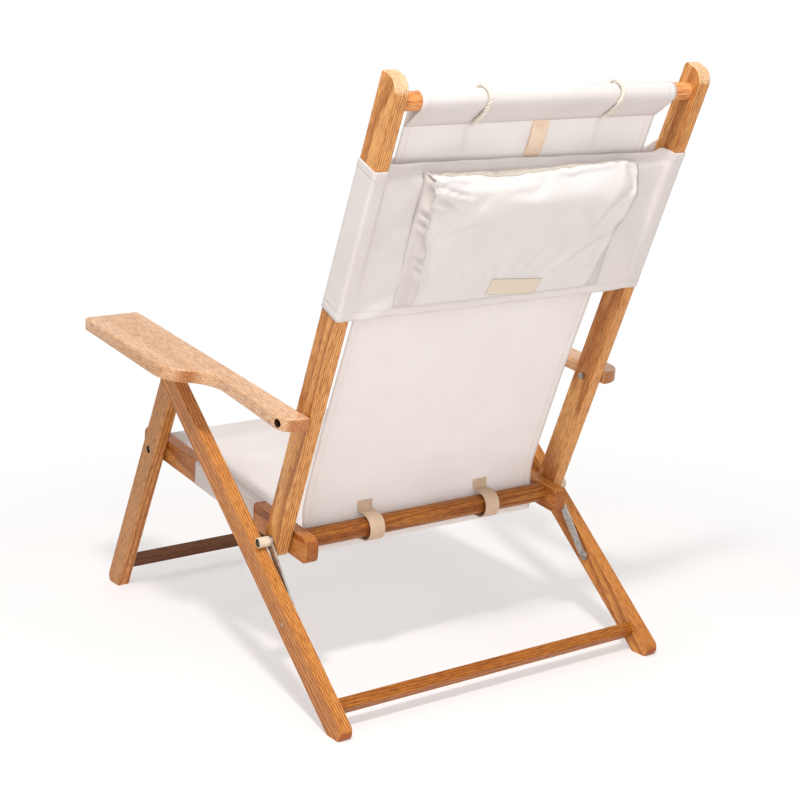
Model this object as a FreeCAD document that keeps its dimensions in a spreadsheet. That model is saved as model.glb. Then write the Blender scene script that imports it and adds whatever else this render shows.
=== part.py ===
"""Folding beach chair: an oiled hardwood frame with a canvas sling, arms and a four-bar fold.

Millimetres, +Z up. The sitter faces -Y and +X is the sitter's left. The origin is on the floor,
under the middle of the chair's bounding box.
"""
import FreeCAD, Part
import Sketcher
import math
import os

V = FreeCAD.Vector
OUTWARD = V(1, 0, 0)

# Driving dimensions
DRIVING = (
    ("bar_thickness", 20, "thickness of rails, uprights and legs"),
    ("bar_width", 38, "width of rails, uprights and front legs"),
    ("rear_leg_width", 36, "width of the rear legs"),
    ("rail_inner", 213, "middle of the chair to a seat rail's inner face"),
    ("washer_gap", 2, "gap between rail and upright, and between upright and link"),
    ("link_gap", 7, "gap between upright and rear leg, where the link swings"),
    ("arm_gap", 1.5, "gap between upright and arm"),
    ("middle_shift", 3.4, "moves the chair along Y so that the origin is under its middle"),
    ("front_pivot_y", -269, "front leg on seat rail"),
    ("front_pivot_z", 268, "front leg on seat rail"),
    ("back_pivot_y", 120.5, "upright and link on seat rail"),
    ("back_pivot_z", 219, "upright and link on seat rail"),
    ("top_pivot_y", -169.5, "front leg on rear leg, under the arm"),
    ("top_pivot_z", 435, "front leg on rear leg, under the arm"),
    ("link_pivot_y", 193.8, "link on rear leg"),
    ("link_pivot_z", 121.7, "link on rear leg"),
    ("back_lean", 25, "lean of the back, degrees from upright"),
    ("upright_length", 723, "back pivot to the top of an upright"),
    ("upright_foot_round", 9, "rounding of the upright's lower corners"),
    ("upright_rear_round", 20, "rounding of the upright's top, rear corner"),
    ("upright_front_round", 6, "rounding of the upright's top, front corner"),
    ("rail_front", 60, "seat rail ahead of the front pivot"),
    ("rail_rear", 60, "seat rail behind the back pivot"),
    ("rail_round", 15, "rounding of the rail's front corners and its top rear corner"),
    ("rail_heel_round", 11, "rounding of the rail's lower rear corner"),
    ("foot_round", 13, "rounding of the legs' lower ends"),
    ("edge_round", 1.6, "eased long edges of the bars"),
    ("arm_edge_round", 3.2, "eased edges of the arms"),
    ("front_foot_reach", 6, "front leg's end past the floor point of its centreline"),
    ("rear_foot_reach", 1, "rear leg's end past the floor point of its centreline"),
    ("dowel_diameter", 24, "round bars in the sling's two hems"),
    ("rear_dowel_diameter", 28.5, "thicker round bar behind the seat"),
    ("dowel_tenon", 12, "depth of a dowel in its bore"),
    ("front_dowel_ahead", 20, "front dowel ahead of the front pivot"),
    ("rear_dowel_behind", 20.5, "rear dowel behind the back pivot"),
    ("rear_dowel_up", 3, "rear dowel over the rail's centreline"),
    ("top_dowel_down", 35.5, "top dowel below the upright's top end"),
    ("crossbar_depth", 17, "crossbar along its legs"),
    ("crossbar_width", 18, "crossbar across its legs"),
    ("crossbar_up", 48, "crossbar's middle up its leg from the floor"),
    ("arm_pivot_up", 214.6, "arm pivot up the upright from the back pivot"),
    ("arm_thickness", 20, "arm board"),
    ("arm_length", 503, "arm pivot to the front end of the arm"),
    ("arm_tail", 24, "arm behind its pivot"),
    ("arm_wide", 90, "arm's paddle across"),
    ("arm_narrow", 31.5, "arm across where it is narrowest"),
    ("arm_tail_wide", 39.5, "arm across at its rear end"),
    ("arm_curve_front", 268, "where the paddle starts to narrow, from the pivot"),
    ("arm_curve_rear", 163, "where the narrow part starts, from the pivot"),
    ("arm_front_round", 5, "rounding of the paddle's outer front corner"),
    ("arm_tail_round", 30, "rounding of the arm's outer rear corner"),
    ("arm_inner_round", 4, "rounding of the arm's inner corners"),
    ("arm_groove", 0.4, "depth of the groove under the arm that sits on the rear leg"),
    ("bolt_diameter", 6, "pivot bolts"),
    ("pivot_clearance", 0.05, "radial clearance of a bolt in a turning piece"),
    ("head_diameter", 9.6, "bolt heads"),
    ("head_height", 3.5, "bolt heads"),
    ("counterbore_diameter", 12, "counterbores for the heads"),
    ("counterbore_depth", 6, "counterbores for the heads"),
    ("nut_across", 11, "hexagon nuts, over the corners"),
    ("nut_height", 4, "hexagon nuts"),
    ("washer_diameter", 16, "washers"),
    ("link_thickness", 3, "steel link"),
    ("link_width", 12.5, "steel link"),
    ("link_screw_diameter", 5, "screw of the link on the rear leg"),
    ("link_head_height", 1.5, "flat head of that screw"),
    ("spacer_reach", 17, "nylon spacer outwards from the link"),
    ("rest_gap", 0.3, "gap where one piece rests on another that moves"),
    ("brad_diameter", 1.8, "brads through the top dowel"),
    ("brad_length", 28, "brads through the top dowel"),
    ("brad_spread", 2.6, "half the step between two brads along the upright"),
    ("brad_step", 1.2, "half the step between two brads across the upright"),
    ("canvas_thickness", 1.5, "sling canvas"),
    ("canvas_half_width", 206, "middle of the chair to the sling's edge"),
    ("hem_down", 37.5, "hem seam below the top dowel"),
    ("seat_hem", 46, "seat hem behind the front dowel"),
    ("crease_behind", 4.7, "sling's lowest stretch behind the back pivot"),
    ("crease_down", 33, "sling's crease below the back pivot"),
    ("crease_round", 9, "rounding of the sling's crease"),
    ("back_end_up", 5, "back canvas ends this far above the back pivot"),
    ("sag_front_at", 119, "first point of the seat's sag behind the front pivot"),
    ("sag_front", 5, "its height over the rail's centreline"),
    ("sag_middle_at", 269, "second point of the seat's sag behind the front pivot"),
    ("sag_middle", 2, "its height over the rail's centreline"),
    ("sag_rear_at", 338, "third point of the seat's sag behind the front pivot"),
    ("sag_rear", -7, "its height over the rail's centreline"),
    ("sag_round", 120, "rounding of the seat's sag"),
    ("sleeve_wall", 1.2, "canvas sleeve round a rail, and the head band"),
    ("sleeve_clearance", 0.2, "sleeve or band to the wood inside it"),
    ("sleeve_start", 121, "sleeve from the front pivot"),
    ("sleeve_length", 182, "sleeve along the rail"),
    ("band_down", 83, "head band's upper edge below the top dowel"),
    ("band_height", 220, "head band along the upright"),
    ("band_slack", 8, "band's rear panel drawn in between the uprights"),
    ("band_front_slack", 3, "band's front panel drawn in between the uprights"),
    ("band_slack_run", 38, "upright to where the panels are fully drawn in"),
    ("pouch_width", 364, "pouch across"),
    ("pouch_up", 12, "pouch over the band's lower edge"),
    ("pouch_height", 192, "pouch along the upright"),
    ("pouch_mouth_depth", 10, "pouch at its upper edge, where the zip is"),
    ("pouch_bulge_depth", 24, "pouch where it is deepest"),
    ("pouch_shoulder", 30, "from the pouch's upper edge down to its deepest part"),
    ("pouch_foot_depth", 5, "pouch at its lower edge"),
    ("zip_length", 330, "zip across the pouch's top"),
    ("zip_width", 8, "zip"),
    ("zip_thickness", 1.6, "zip"),
    ("tag_width", 86, "tag on the pouch"),
    ("tag_height", 26, "tag on the pouch"),
    ("tag_thickness", 1.2, "tag on the pouch"),
    ("tag_up", 14, "tag over the pouch's lower edge"),
    ("tag_aside", -14, "tag's middle from the middle of the chair"),
    ("strap_width", 26, "leather strap in the middle of the back"),
    ("strap_thickness", 2.4, "leather strap"),
    ("strap_length", 100, "leather strap"),
    ("strap_middle", -8, "leather strap's middle from the middle of the chair"),
    ("loop_width", 25, "leather loops round the rear dowel"),
    ("loop_thickness", 2, "leather loops"),
    ("loop_up", 35.4, "loops' upper end up the back from the back pivot"),
    ("loop_left", 102, "left loop's middle from the middle of the chair"),
    ("loop_right", -105.5, "right loop's middle from the middle of the chair"),
    ("loop_slack", 4, "loops stand off the rear dowel"),
    ("cord_diameter", 6, "cotton cords over the top dowel"),
    ("cord_aside", 108, "cords from the middle of the chair"),
)

doc = FreeCAD.newDocument("folding_beach_chair")
sheet = doc.addObject("Spreadsheet::Sheet", "sizes")
for row, (alias, value, note) in enumerate(DRIVING, start=1):
    sheet.set(f"A{row}", alias)
    sheet.set(f"B{row}", str(value))
    sheet.setAlias(f"B{row}", alias)
    sheet.set(f"C{row}", note)
doc.recompute()


def size(alias):
    """A driving dimension from the sheet."""
    return float(sheet.get(alias))


def bind(item, field, value):
    """Set a size: a text is an expression of sheet cells, a number is a worked-out length."""
    if isinstance(value, str):
        item.setExpression(field, value)
    else:
        setattr(item, field, value)


# Layers across the chair, from the middle outwards
bar = size("bar_thickness")
rail_inner = size("rail_inner")
rail_outer = rail_inner + bar
upright_inner = rail_outer + size("washer_gap")
upright_outer = upright_inner + bar
link_inner = upright_outer + size("washer_gap")
link_outer = link_inner + size("link_thickness")
leg_inner = upright_outer + size("link_gap")
leg_outer = leg_inner + bar
arm_inner = upright_outer + size("arm_gap")
arm_outer = arm_inner + size("arm_narrow")
arm_tail_outer = arm_inner + size("arm_tail_wide")


# Pivots and directions in the side view
def side_point(name):
    return V(0, size(name + "_y") + size("middle_shift"), size(name + "_z"))


def unit(vector):
    return V(vector).normalize()


front_pivot = side_point("front_pivot")
back_pivot = side_point("back_pivot")
top_pivot = side_point("top_pivot")
link_pivot = side_point("link_pivot")
lean = math.radians(size("back_lean"))
back_way = V(0, math.sin(lean), math.cos(lean))
back_rear = V(0, math.cos(lean), -math.sin(lean))
rail_way = unit(back_pivot - front_pivot)
rail_up = OUTWARD.cross(rail_way)
front_leg_way = unit(top_pivot - front_pivot)
rear_leg_way = unit(link_pivot - top_pivot)
rear_leg_up = OUTWARD.cross(rear_leg_way)
rail_span = (back_pivot - front_pivot).Length
arm_pivot = back_pivot + back_way * size("arm_pivot_up")
top_dowel_up = size("upright_length") - size("top_dowel_down")
top_dowel = back_pivot + back_way * top_dowel_up
front_dowel = front_pivot - rail_way * size("front_dowel_ahead")
rear_dowel = back_pivot + rail_way * size("rear_dowel_behind") + rail_up * size("rear_dowel_up")

# The arm lies on the round top of the rear leg, so its slope follows from the two pivots
leg_top_round = size("rear_leg_width") / 2
arm_over_pivot = size("arm_thickness") / 2 + leg_top_round + size("rest_gap") - size("arm_groove")
arm_reach = top_pivot - arm_pivot
arm_slope = math.atan2(arm_reach.z, -arm_reach.y) + math.asin(arm_over_pivot / arm_reach.Length)
arm_way = V(0, -math.cos(arm_slope), math.sin(arm_slope))

# The nylon spacer lies on the rear leg's upper edge, which sets its radius
spacer_over_leg = (back_pivot - top_pivot).dot(rear_leg_up)
spacer_radius = spacer_over_leg - size("rear_leg_width") / 2 - size("rest_gap")

nodes = {}


def keep(label, item):
    """Give a finished sub-part its name."""
    item.Label = label
    nodes[label] = item
    return item


def mirrored(label, item):
    """The same piece on the sitter's right."""
    other = doc.addObject("Part::Mirroring", label)
    other.Source = item
    other.Normal = OUTWARD
    return keep(label, other)


def both_sides(label, item):
    """A left and a right copy of a small piece, kept as one sub-part."""
    other = doc.addObject("Part::Mirroring", label + "_other")
    other.Source = item
    other.Normal = OUTWARD
    pair = doc.addObject("Part::Compound", label)
    pair.Links = [item, other]
    return keep(label, pair)


def side_placement(x, point, along):
    """Lay a flat profile in a side view: its X runs along the piece, its thickness outwards."""
    turn = FreeCAD.Rotation(along, OUTWARD.cross(along), OUTWARD, "XYZ")
    return FreeCAD.Placement(V(x, point.y, point.z), turn)


def base_sketch(body, name):
    """An empty sketch on the body's own XY plane."""
    sketch = body.newObject("Sketcher::SketchObject", name)
    plane = next(item for item in body.Origin.OriginFeatures if item.Role == "XY_Plane")
    sketch.AttachmentSupport = [(plane, "")]
    sketch.MapMode = "FlatFace"
    return sketch


def measure(sketch, constraint, value):
    """Add a dimension, bound to the sheet where it is an expression."""
    place = sketch.addConstraint(constraint)
    if isinstance(value, str):
        sketch.setExpression(f"Constraints[{place}]", value)


def reading(length):
    """A length and its expression: from a cell's name, or a worked-out number for both."""
    if isinstance(length, str):
        return size(length), "sizes." + length
    return length, length


def round_corners(body, base, corners):
    """Round upright edges of a padded outline: each corner is its X, its Y and a radius."""
    for x, y, radius in corners:
        names = []
        for place, edge in enumerate(base.Shape.Edges, start=1):
            ends = [vertex.Point for vertex in edge.Vertexes]
            span = edge.BoundBox
            upright = len(ends) == 2 and span.ZLength > span.XLength + span.YLength
            if upright and math.hypot(ends[0].x - x, ends[0].y - y) < size("rest_gap"):
                names.append(f"Edge{place}")
        fillet = body.newObject("PartDesign::Fillet", "corner")
        fillet.Base = (base, names)
        bind(fillet, "Radius", radius)
        doc.recompute()
        base = fillet
    return base


def ease_edges(body, base, radius):
    """Round the edges of a padded outline's two flat sides."""
    names = []
    for place, edge in enumerate(base.Shape.Edges, start=1):
        if edge.BoundBox.ZLength < size("pivot_clearance"):
            names.append(f"Edge{place}")
    fillet = body.newObject("PartDesign::Fillet", "eased")
    fillet.Base = (base, names)
    bind(fillet, "Radius", radius)
    doc.recompute()


def bar_blank(name, before, after, width, place, corners, thickness="bar_thickness"):
    """A straight bar: a padded rectangle with rounded corners and eased edges.

    The lengths before and after the origin are cell names or numbers, width and thickness cell names.
    """
    body = doc.addObject("PartDesign::Body", name)
    sketch = base_sketch(body, name + "_outline")
    start_length, start_expression = reading(before)
    end_length, end_expression = reading(after)
    low, high, half = -start_length, end_length, size(width) / 2
    points = [V(low, -half, 0), V(high, -half, 0), V(high, half, 0), V(low, half, 0)]
    for start in range(4):
        sketch.addGeometry(Part.LineSegment(points[start], points[(start + 1) % 4]), False)
    for start in range(4):
        sketch.addConstraint(Sketcher.Constraint("Coincident", start, 2, (start + 1) % 4, 1))
    for line in (0, 2):
        sketch.addConstraint(Sketcher.Constraint("Horizontal", line))
    for line in (1, 3):
        sketch.addConstraint(Sketcher.Constraint("Vertical", line))
    half_width = f"sizes.{width} / 2"
    measure(sketch, Sketcher.Constraint("DistanceY", 0, 1, -1, 1, half), half_width)
    measure(sketch, Sketcher.Constraint("DistanceY", -1, 1, 2, 1, half), half_width)
    measure(sketch, Sketcher.Constraint("DistanceX", 0, 1, -1, 1, -low), start_expression)
    measure(sketch, Sketcher.Constraint("DistanceX", -1, 1, 1, 1, high), end_expression)
    pad = body.newObject("PartDesign::Pad", name + "_pad")
    pad.Profile = sketch
    bind(pad, "Length", f"sizes.{thickness}")
    doc.recompute()
    ends = {"start": low, "end": high}
    sides = {"low": -half, "high": half}
    spots = [(ends[end], sides[side], radius) for end, side, radius in corners]
    ease_edges(body, round_corners(body, pad, spots), "sizes.edge_round")
    body.Placement = place
    return body


def along_x(start_x, centre):
    """Turn a piece that stands on Z so that it runs along X from start_x."""
    return FreeCAD.Placement(V(start_x, centre.y, centre.z), FreeCAD.Rotation(V(0, 0, 1), OUTWARD))


def rod(name, radius, start_x, end_x, centre):
    """A cylinder along X."""
    item = doc.addObject("Part::Cylinder", name)
    bind(item, "Radius", radius)
    item.Height = end_x - start_x
    item.Placement = along_x(start_x, centre)
    return item


def block(name, length, width, height, place):
    """A box, placed by its own corner."""
    item = doc.addObject("Part::Box", name)
    bind(item, "Length", length)
    bind(item, "Width", width)
    bind(item, "Height", height)
    item.Placement = place
    return item


def cut(name, base, tools):
    """Take the tools away from a piece."""
    tool = tools[0]
    if len(tools) > 1:
        tool = doc.addObject("Part::MultiFuse", name + "_tools")
        tool.Shapes = tools
    item = doc.addObject("Part::Cut", name)
    item.Base = base
    item.Tool = tool
    return item


def fuse(name, items):
    item = doc.addObject("Part::MultiFuse", name)
    item.Shapes = items
    return item


bolt_radius = "sizes.bolt_diameter / 2"
turning_radius = "sizes.bolt_diameter / 2 + sizes.pivot_clearance"
screw_radius = "sizes.link_screw_diameter / 2"
screw_turning_radius = "sizes.link_screw_diameter / 2 + sizes.pivot_clearance"
dowel_radius = "sizes.dowel_diameter / 2"
rear_dowel_radius = "sizes.rear_dowel_diameter / 2"
head_radius = "sizes.head_diameter / 2"
counterbore_radius = "sizes.counterbore_diameter / 2"
washer_radius = "sizes.washer_diameter / 2"
full_round = "sizes.bar_width / 2 - sizes.rest_gap"
leg_round = "sizes.rear_leg_width / 2 - sizes.pivot_clearance"
tenon = size("dowel_tenon")


# Seat frame
def seat_rails():
    corners = [
        ("start", "low", "sizes.rail_round"),
        ("start", "high", "sizes.rail_round"),
        ("end", "high", "sizes.rail_round"),
        ("end", "low", "sizes.rail_heel_round"),
    ]
    place = side_placement(rail_inner, front_pivot, rail_way)
    after = rail_span + size("rail_rear")
    blank = bar_blank("rail_blank", "rail_front", after, "bar_width", place, corners)
    tools = [
        rod("rail_front_bore", turning_radius, rail_inner, rail_outer, front_pivot),
        rod("rail_back_bore", turning_radius, rail_inner, rail_outer, back_pivot),
        rod("rail_front_mortise", dowel_radius, rail_inner, rail_inner + tenon, front_dowel),
        rod("rail_rear_mortise", rear_dowel_radius, rail_inner, rail_inner + tenon, rear_dowel),
    ]
    left = keep("seat_rail_left", cut("seat_rail_left", blank, tools))
    mirrored("seat_rail_right", left)


def dowels():
    seat_end = rail_inner + tenon
    back_end = upright_inner + tenon
    keep("front_seat_dowel", rod("front_seat_dowel", dowel_radius, -seat_end, seat_end, front_dowel))
    keep("rear_seat_dowel", rod("rear_seat_dowel", rear_dowel_radius, -seat_end, seat_end, rear_dowel))
    keep("top_dowel", rod("top_dowel", dowel_radius, -back_end, back_end, top_dowel))


# Back frame
def uprights():
    corners = [
        ("start", "low", "sizes.upright_foot_round"),
        ("start", "high", "sizes.upright_foot_round"),
        ("end", "low", "sizes.upright_rear_round - sizes.pivot_clearance"),
        ("end", "high", "sizes.upright_front_round"),
    ]
    place = side_placement(upright_inner, back_pivot, back_way)
    half = size("bar_width") / 2
    blank = bar_blank("upright_blank", half, "upright_length", "bar_width", place, corners)
    tools = [
        rod("upright_back_bore", turning_radius, upright_inner, upright_outer, back_pivot),
        rod("upright_arm_bore", turning_radius, upright_inner, upright_outer, arm_pivot),
        rod("upright_mortise", dowel_radius, upright_inner, upright_inner + tenon, top_dowel),
    ]
    left = keep("upright_left", cut("upright_left", blank, tools))
    mirrored("upright_right", left)


def dowel_brads():
    """Two brads on each side, driven from the upright's rear face into the top dowel."""
    x = upright_inner + tenon / 2
    start = top_dowel + back_rear * (size("bar_width") / 2 - size("brad_length"))
    brads = []
    for way in (-1, 1):
        brad = doc.addObject("Part::Cylinder", "brad")
        bind(brad, "Radius", "sizes.brad_diameter / 2")
        bind(brad, "Height", "sizes.brad_length")
        spot = start + back_way * way * size("brad_spread") + OUTWARD * (x + way * size("brad_step"))
        brad.Placement = FreeCAD.Placement(spot, FreeCAD.Rotation(V(0, 0, 1), back_rear))
        brads.append(brad)
    pair = doc.addObject("Part::Compound", "brad_pair")
    pair.Links = brads
    both_sides("dowel_brads", pair)


# Legs
def floor_block():
    """Everything under the floor: it squares the feet."""
    reach = 4 * leg_outer
    deep = size("bar_width") * 2
    place = FreeCAD.Placement(V(-reach / 2, -reach / 2, -deep), FreeCAD.Rotation())
    return block("floor", reach, reach, deep, place)


def front_legs(floor):
    corners = [
        ("start", "high", "sizes.foot_round"),
        ("start", "low", "sizes.rest_gap"),
        ("end", "low", full_round),
        ("end", "high", full_round),
    ]
    before = front_pivot.z / front_leg_way.z + size("front_foot_reach")
    after = (top_pivot - front_pivot).Length + size("bar_width") / 2
    place = side_placement(upright_inner, front_pivot, front_leg_way)
    head_at = upright_outer - size("counterbore_depth")
    blank = bar_blank("front_leg_blank", before, after, "bar_width", place, corners)
    tools = [
        rod("leg_front_bore", turning_radius, upright_inner, upright_outer, front_pivot),
        rod("leg_front_head", counterbore_radius, head_at, upright_outer, front_pivot),
        rod("leg_top_bore", turning_radius, upright_inner, upright_outer, top_pivot),
        floor,
    ]
    left = keep("front_leg_left", cut("front_leg_left", blank, tools))
    mirrored("front_leg_right", left)


def rear_legs(floor):
    corners = [
        ("start", "low", leg_round),
        ("start", "high", leg_round),
        ("end", "high", "sizes.foot_round"),
    ]
    after = top_pivot.z / -rear_leg_way.z + size("rear_foot_reach")
    place = side_placement(leg_inner, top_pivot, rear_leg_way)
    head_at = leg_outer - size("counterbore_depth")
    blank = bar_blank("rear_leg_blank", leg_top_round, after, "rear_leg_width", place, corners)
    tools = [
        rod("rear_top_bore", turning_radius, leg_inner, leg_outer, top_pivot),
        rod("rear_top_head", counterbore_radius, head_at, leg_outer, top_pivot),
        rod("rear_link_bore", screw_turning_radius, leg_inner, leg_outer, link_pivot),
        floor,
    ]
    left = keep("rear_leg_left", cut("rear_leg_left", blank, tools))
    mirrored("rear_leg_right", left)


def crossbar(label, half_length, pivot, way):
    """A bar between two legs, square to them, close above the floor."""
    up_leg = way if way.z > 0 else -way
    foot = pivot - up_leg * (pivot.z / up_leg.z)
    middle = foot + up_leg * size("crossbar_up")
    across = OUTWARD.cross(up_leg)
    turn = FreeCAD.Rotation(OUTWARD, up_leg, across, "XYZ")
    place = FreeCAD.Placement(middle - across * (size("crossbar_width") / 2), turn)
    sides = ("crossbar_depth", place, [], "crossbar_width")
    keep(label, bar_blank(label, half_length, half_length, *sides))


# Arms
def arm_outline(sketch):
    """A straight inner edge, and an outer edge that narrows in an S of two equal arcs, then widens."""
    front, tail = size("arm_length"), size("arm_tail")
    wide, narrow, rear = size("arm_wide"), size("arm_narrow"), size("arm_tail_wide")
    first, second = size("arm_curve_front"), size("arm_curve_rear")
    run, drop = first - second, wide - narrow
    radius = (run * run + drop * drop) / (4 * drop)
    middle = V((first + second) / 2, (wide + narrow) / 2, 0)
    turn = math.asin(run / 2 / radius) / 2
    high = V(first - radius * math.sin(turn), wide - radius * (1 - math.cos(turn)), 0)
    low = V(second + radius * math.sin(turn), narrow + radius * (1 - math.cos(turn)), 0)
    sketch.addGeometry(Part.LineSegment(V(-tail, 0, 0), V(front, 0, 0)), False)
    sketch.addGeometry(Part.LineSegment(V(front, 0, 0), V(front, wide, 0)), False)
    sketch.addGeometry(Part.LineSegment(V(front, wide, 0), V(first, wide, 0)), False)
    sketch.addGeometry(Part.Arc(V(first, wide, 0), high, middle), False)
    sketch.addGeometry(Part.Arc(V(second, narrow, 0), low, middle), False)
    sketch.addGeometry(Part.LineSegment(V(second, narrow, 0), V(-tail, rear, 0)), False)
    sketch.addGeometry(Part.LineSegment(V(-tail, rear, 0), V(-tail, 0, 0)), False)
    for one, end, other, start in ((0, 2, 1, 1), (1, 2, 2, 1), (4, 1, 5, 1), (5, 2, 6, 1), (6, 2, 0, 1)):
        sketch.addConstraint(Sketcher.Constraint("Coincident", one, end, other, start))
    for line in (0, 2):
        sketch.addConstraint(Sketcher.Constraint("Horizontal", line))
    for line in (1, 6):
        sketch.addConstraint(Sketcher.Constraint("Vertical", line))
    for one, end, other, start in ((2, 2, 3, 1), (3, 2, 4, 2)):
        sketch.addConstraint(Sketcher.Constraint("Tangent", one, end, other, start))
    sketch.addConstraint(Sketcher.Constraint("Vertical", 4, 3, 4, 1))
    sketch.addConstraint(Sketcher.Constraint("Equal", 3, 4))
    sketch.addConstraint(Sketcher.Constraint("PointOnObject", 0, 1, -1))
    measure(sketch, Sketcher.Constraint("DistanceX", 0, 1, -1, 1, tail), "sizes.arm_tail")
    measure(sketch, Sketcher.Constraint("DistanceX", -1, 1, 1, 1, front), "sizes.arm_length")
    measure(sketch, Sketcher.Constraint("DistanceY", -1, 1, 2, 1, wide), "sizes.arm_wide")
    measure(sketch, Sketcher.Constraint("DistanceY", -1, 1, 5, 1, narrow), "sizes.arm_narrow")
    measure(sketch, Sketcher.Constraint("DistanceY", -1, 1, 5, 2, rear), "sizes.arm_tail_wide")
    measure(sketch, Sketcher.Constraint("DistanceX", -1, 1, 2, 2, first), "sizes.arm_curve_front")
    measure(sketch, Sketcher.Constraint("DistanceX", -1, 1, 5, 1, second), "sizes.arm_curve_rear")


def arms():
    body = doc.addObject("PartDesign::Body", "arm_blank")
    sketch = base_sketch(body, "arm_outline")
    arm_outline(sketch)
    pad = body.newObject("PartDesign::Pad", "arm_pad")
    pad.Profile = sketch
    bind(pad, "Length", "sizes.arm_thickness")
    pad.Midplane = True
    doc.recompute()
    front, tail = size("arm_length"), -size("arm_tail")
    corners = [
        (front, size("arm_wide"), "sizes.arm_front_round"),
        (tail, size("arm_tail_wide"), "sizes.arm_tail_round"),
        (front, 0, "sizes.arm_inner_round"),
        (tail, 0, "sizes.arm_inner_round"),
    ]
    ease_edges(body, round_corners(body, pad, corners), "sizes.arm_edge_round")
    turn = FreeCAD.Rotation(arm_way, OUTWARD, arm_way.cross(OUTWARD), "XYZ")
    body.Placement = FreeCAD.Placement(arm_pivot + OUTWARD * arm_inner, turn)
    gap = size("rest_gap")
    tools = [
        rod("arm_bore", turning_radius, arm_inner, arm_outer, arm_pivot),
        rod("arm_head", counterbore_radius, arm_outer - size("counterbore_depth"), arm_tail_outer, arm_pivot),
        rod("arm_groove", leg_top_round + gap, leg_inner - gap, leg_outer + gap, top_pivot),
    ]
    left = keep("arm_left", cut("arm_left", body, tools))
    mirrored("arm_right", left)


# Links
def links():
    """Flat steel strips with round ends, from the back pivot to the rear leg."""
    way = unit(link_pivot - back_pivot)
    half = size("link_width") / 2
    reach = (link_pivot - back_pivot).Length
    place = side_placement(link_inner, back_pivot - OUTWARD.cross(way) * half, way)
    strip = block("link_strip", reach, "sizes.link_width", "sizes.link_thickness", place)
    ends = [
        rod("link_upper_end", "sizes.link_width / 2", link_inner, link_outer, back_pivot),
        rod("link_lower_end", "sizes.link_width / 2", link_inner, link_outer, link_pivot),
    ]
    holes = [
        rod("link_upper_hole", turning_radius, link_inner, link_outer, back_pivot),
        rod("link_lower_hole", screw_turning_radius, link_inner, link_outer, link_pivot),
    ]
    left = keep("link_left", cut("link_left", fuse("link_plate", [strip] + ends), holes))
    mirrored("link_right", left)


# Hardware
def bolt(name, start_x, head_x, centre):
    shank = rod(name + "_shank", bolt_radius, start_x, head_x, centre)
    head = rod(name + "_head", head_radius, head_x, head_x + size("head_height"), centre)
    return fuse(name, [shank, head])


def washer(name, start_x, end_x, centre, hole=turning_radius):
    disc = rod(name + "_disc", washer_radius, start_x, end_x, centre)
    return cut(name, disc, [rod(name + "_hole", hole, start_x, end_x, centre)])


def nut(name, end_x, centre):
    """A hexagon nut whose outer face is at end_x."""
    start_x = end_x - size("nut_height")
    hexagon = doc.addObject("Part::Prism", name + "_hexagon")
    hexagon.Polygon = 6
    bind(hexagon, "Circumradius", "sizes.nut_across / 2")
    bind(hexagon, "Height", "sizes.nut_height")
    hexagon.Placement = along_x(start_x, centre)
    return cut(name, hexagon, [rod(name + "_hole", turning_radius, start_x, end_x, centre)])


def hardware():
    deep = size("counterbore_depth")
    tall = size("nut_height")
    both_sides("front_pivot_bolts", bolt("front_bolt", rail_inner - tall, upright_outer - deep, front_pivot))
    both_sides("front_pivot_washers", washer("front_washer", rail_outer, upright_inner, front_pivot))
    both_sides("front_pivot_nuts", nut("front_nut", rail_inner, front_pivot))

    spacer_end = link_outer + size("spacer_reach")
    both_sides("back_pivot_bolts", bolt("back_bolt", rail_inner - tall, spacer_end - deep, back_pivot))
    both_sides("back_pivot_washers", washer("back_washer", rail_outer, upright_inner, back_pivot))
    both_sides("back_pivot_nuts", nut("back_nut", rail_inner, back_pivot))
    both_sides("link_washers", washer("link_washer", upright_outer, link_inner, back_pivot))
    tube = rod("spacer_tube", spacer_radius, link_outer, spacer_end, back_pivot)
    holes = [
        rod("spacer_bore", turning_radius, link_outer, spacer_end, back_pivot),
        rod("spacer_recess", counterbore_radius, spacer_end - deep, spacer_end, back_pivot),
    ]
    mirrored("nylon_spacer_right", keep("nylon_spacer_left", cut("nylon_spacer_left", tube, holes)))

    both_sides("arm_pivot_bolts", bolt("arm_bolt", upright_inner - tall, arm_outer - deep, arm_pivot))
    both_sides("arm_pivot_washers", washer("arm_washer", upright_outer, arm_inner, arm_pivot))
    both_sides("arm_pivot_nuts", nut("arm_nut", upright_inner, arm_pivot))

    # The top pivot: a screw in the front leg, and in the rear leg a barrel nut with a spacing collar
    meet = upright_outer + size("rest_gap")
    screw = [
        rod("top_screw_shank", bolt_radius, upright_inner, upright_outer, top_pivot),
        rod("top_screw_head", head_radius, upright_inner - size("head_height"), upright_inner, top_pivot),
    ]
    both_sides("top_pivot_screws", fuse("top_screw", screw))
    collar = rod("top_barrel_collar", washer_radius, meet, leg_inner, top_pivot)
    barrel = bolt("top_barrel_bolt", leg_inner, leg_outer - deep, top_pivot)
    both_sides("top_pivot_barrels", fuse("top_barrel", [barrel, collar]))

    shank = rod("link_screw_shank", screw_radius, link_inner, leg_outer, link_pivot)
    flat = rod("link_screw_head", head_radius, link_inner - size("link_head_height"), link_inner, link_pivot)
    both_sides("link_screws", fuse("link_screw", [shank, flat]))
    both_sides("link_leg_washers", washer("link_leg_washer", link_outer, leg_inner, link_pivot, screw_radius))


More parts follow.
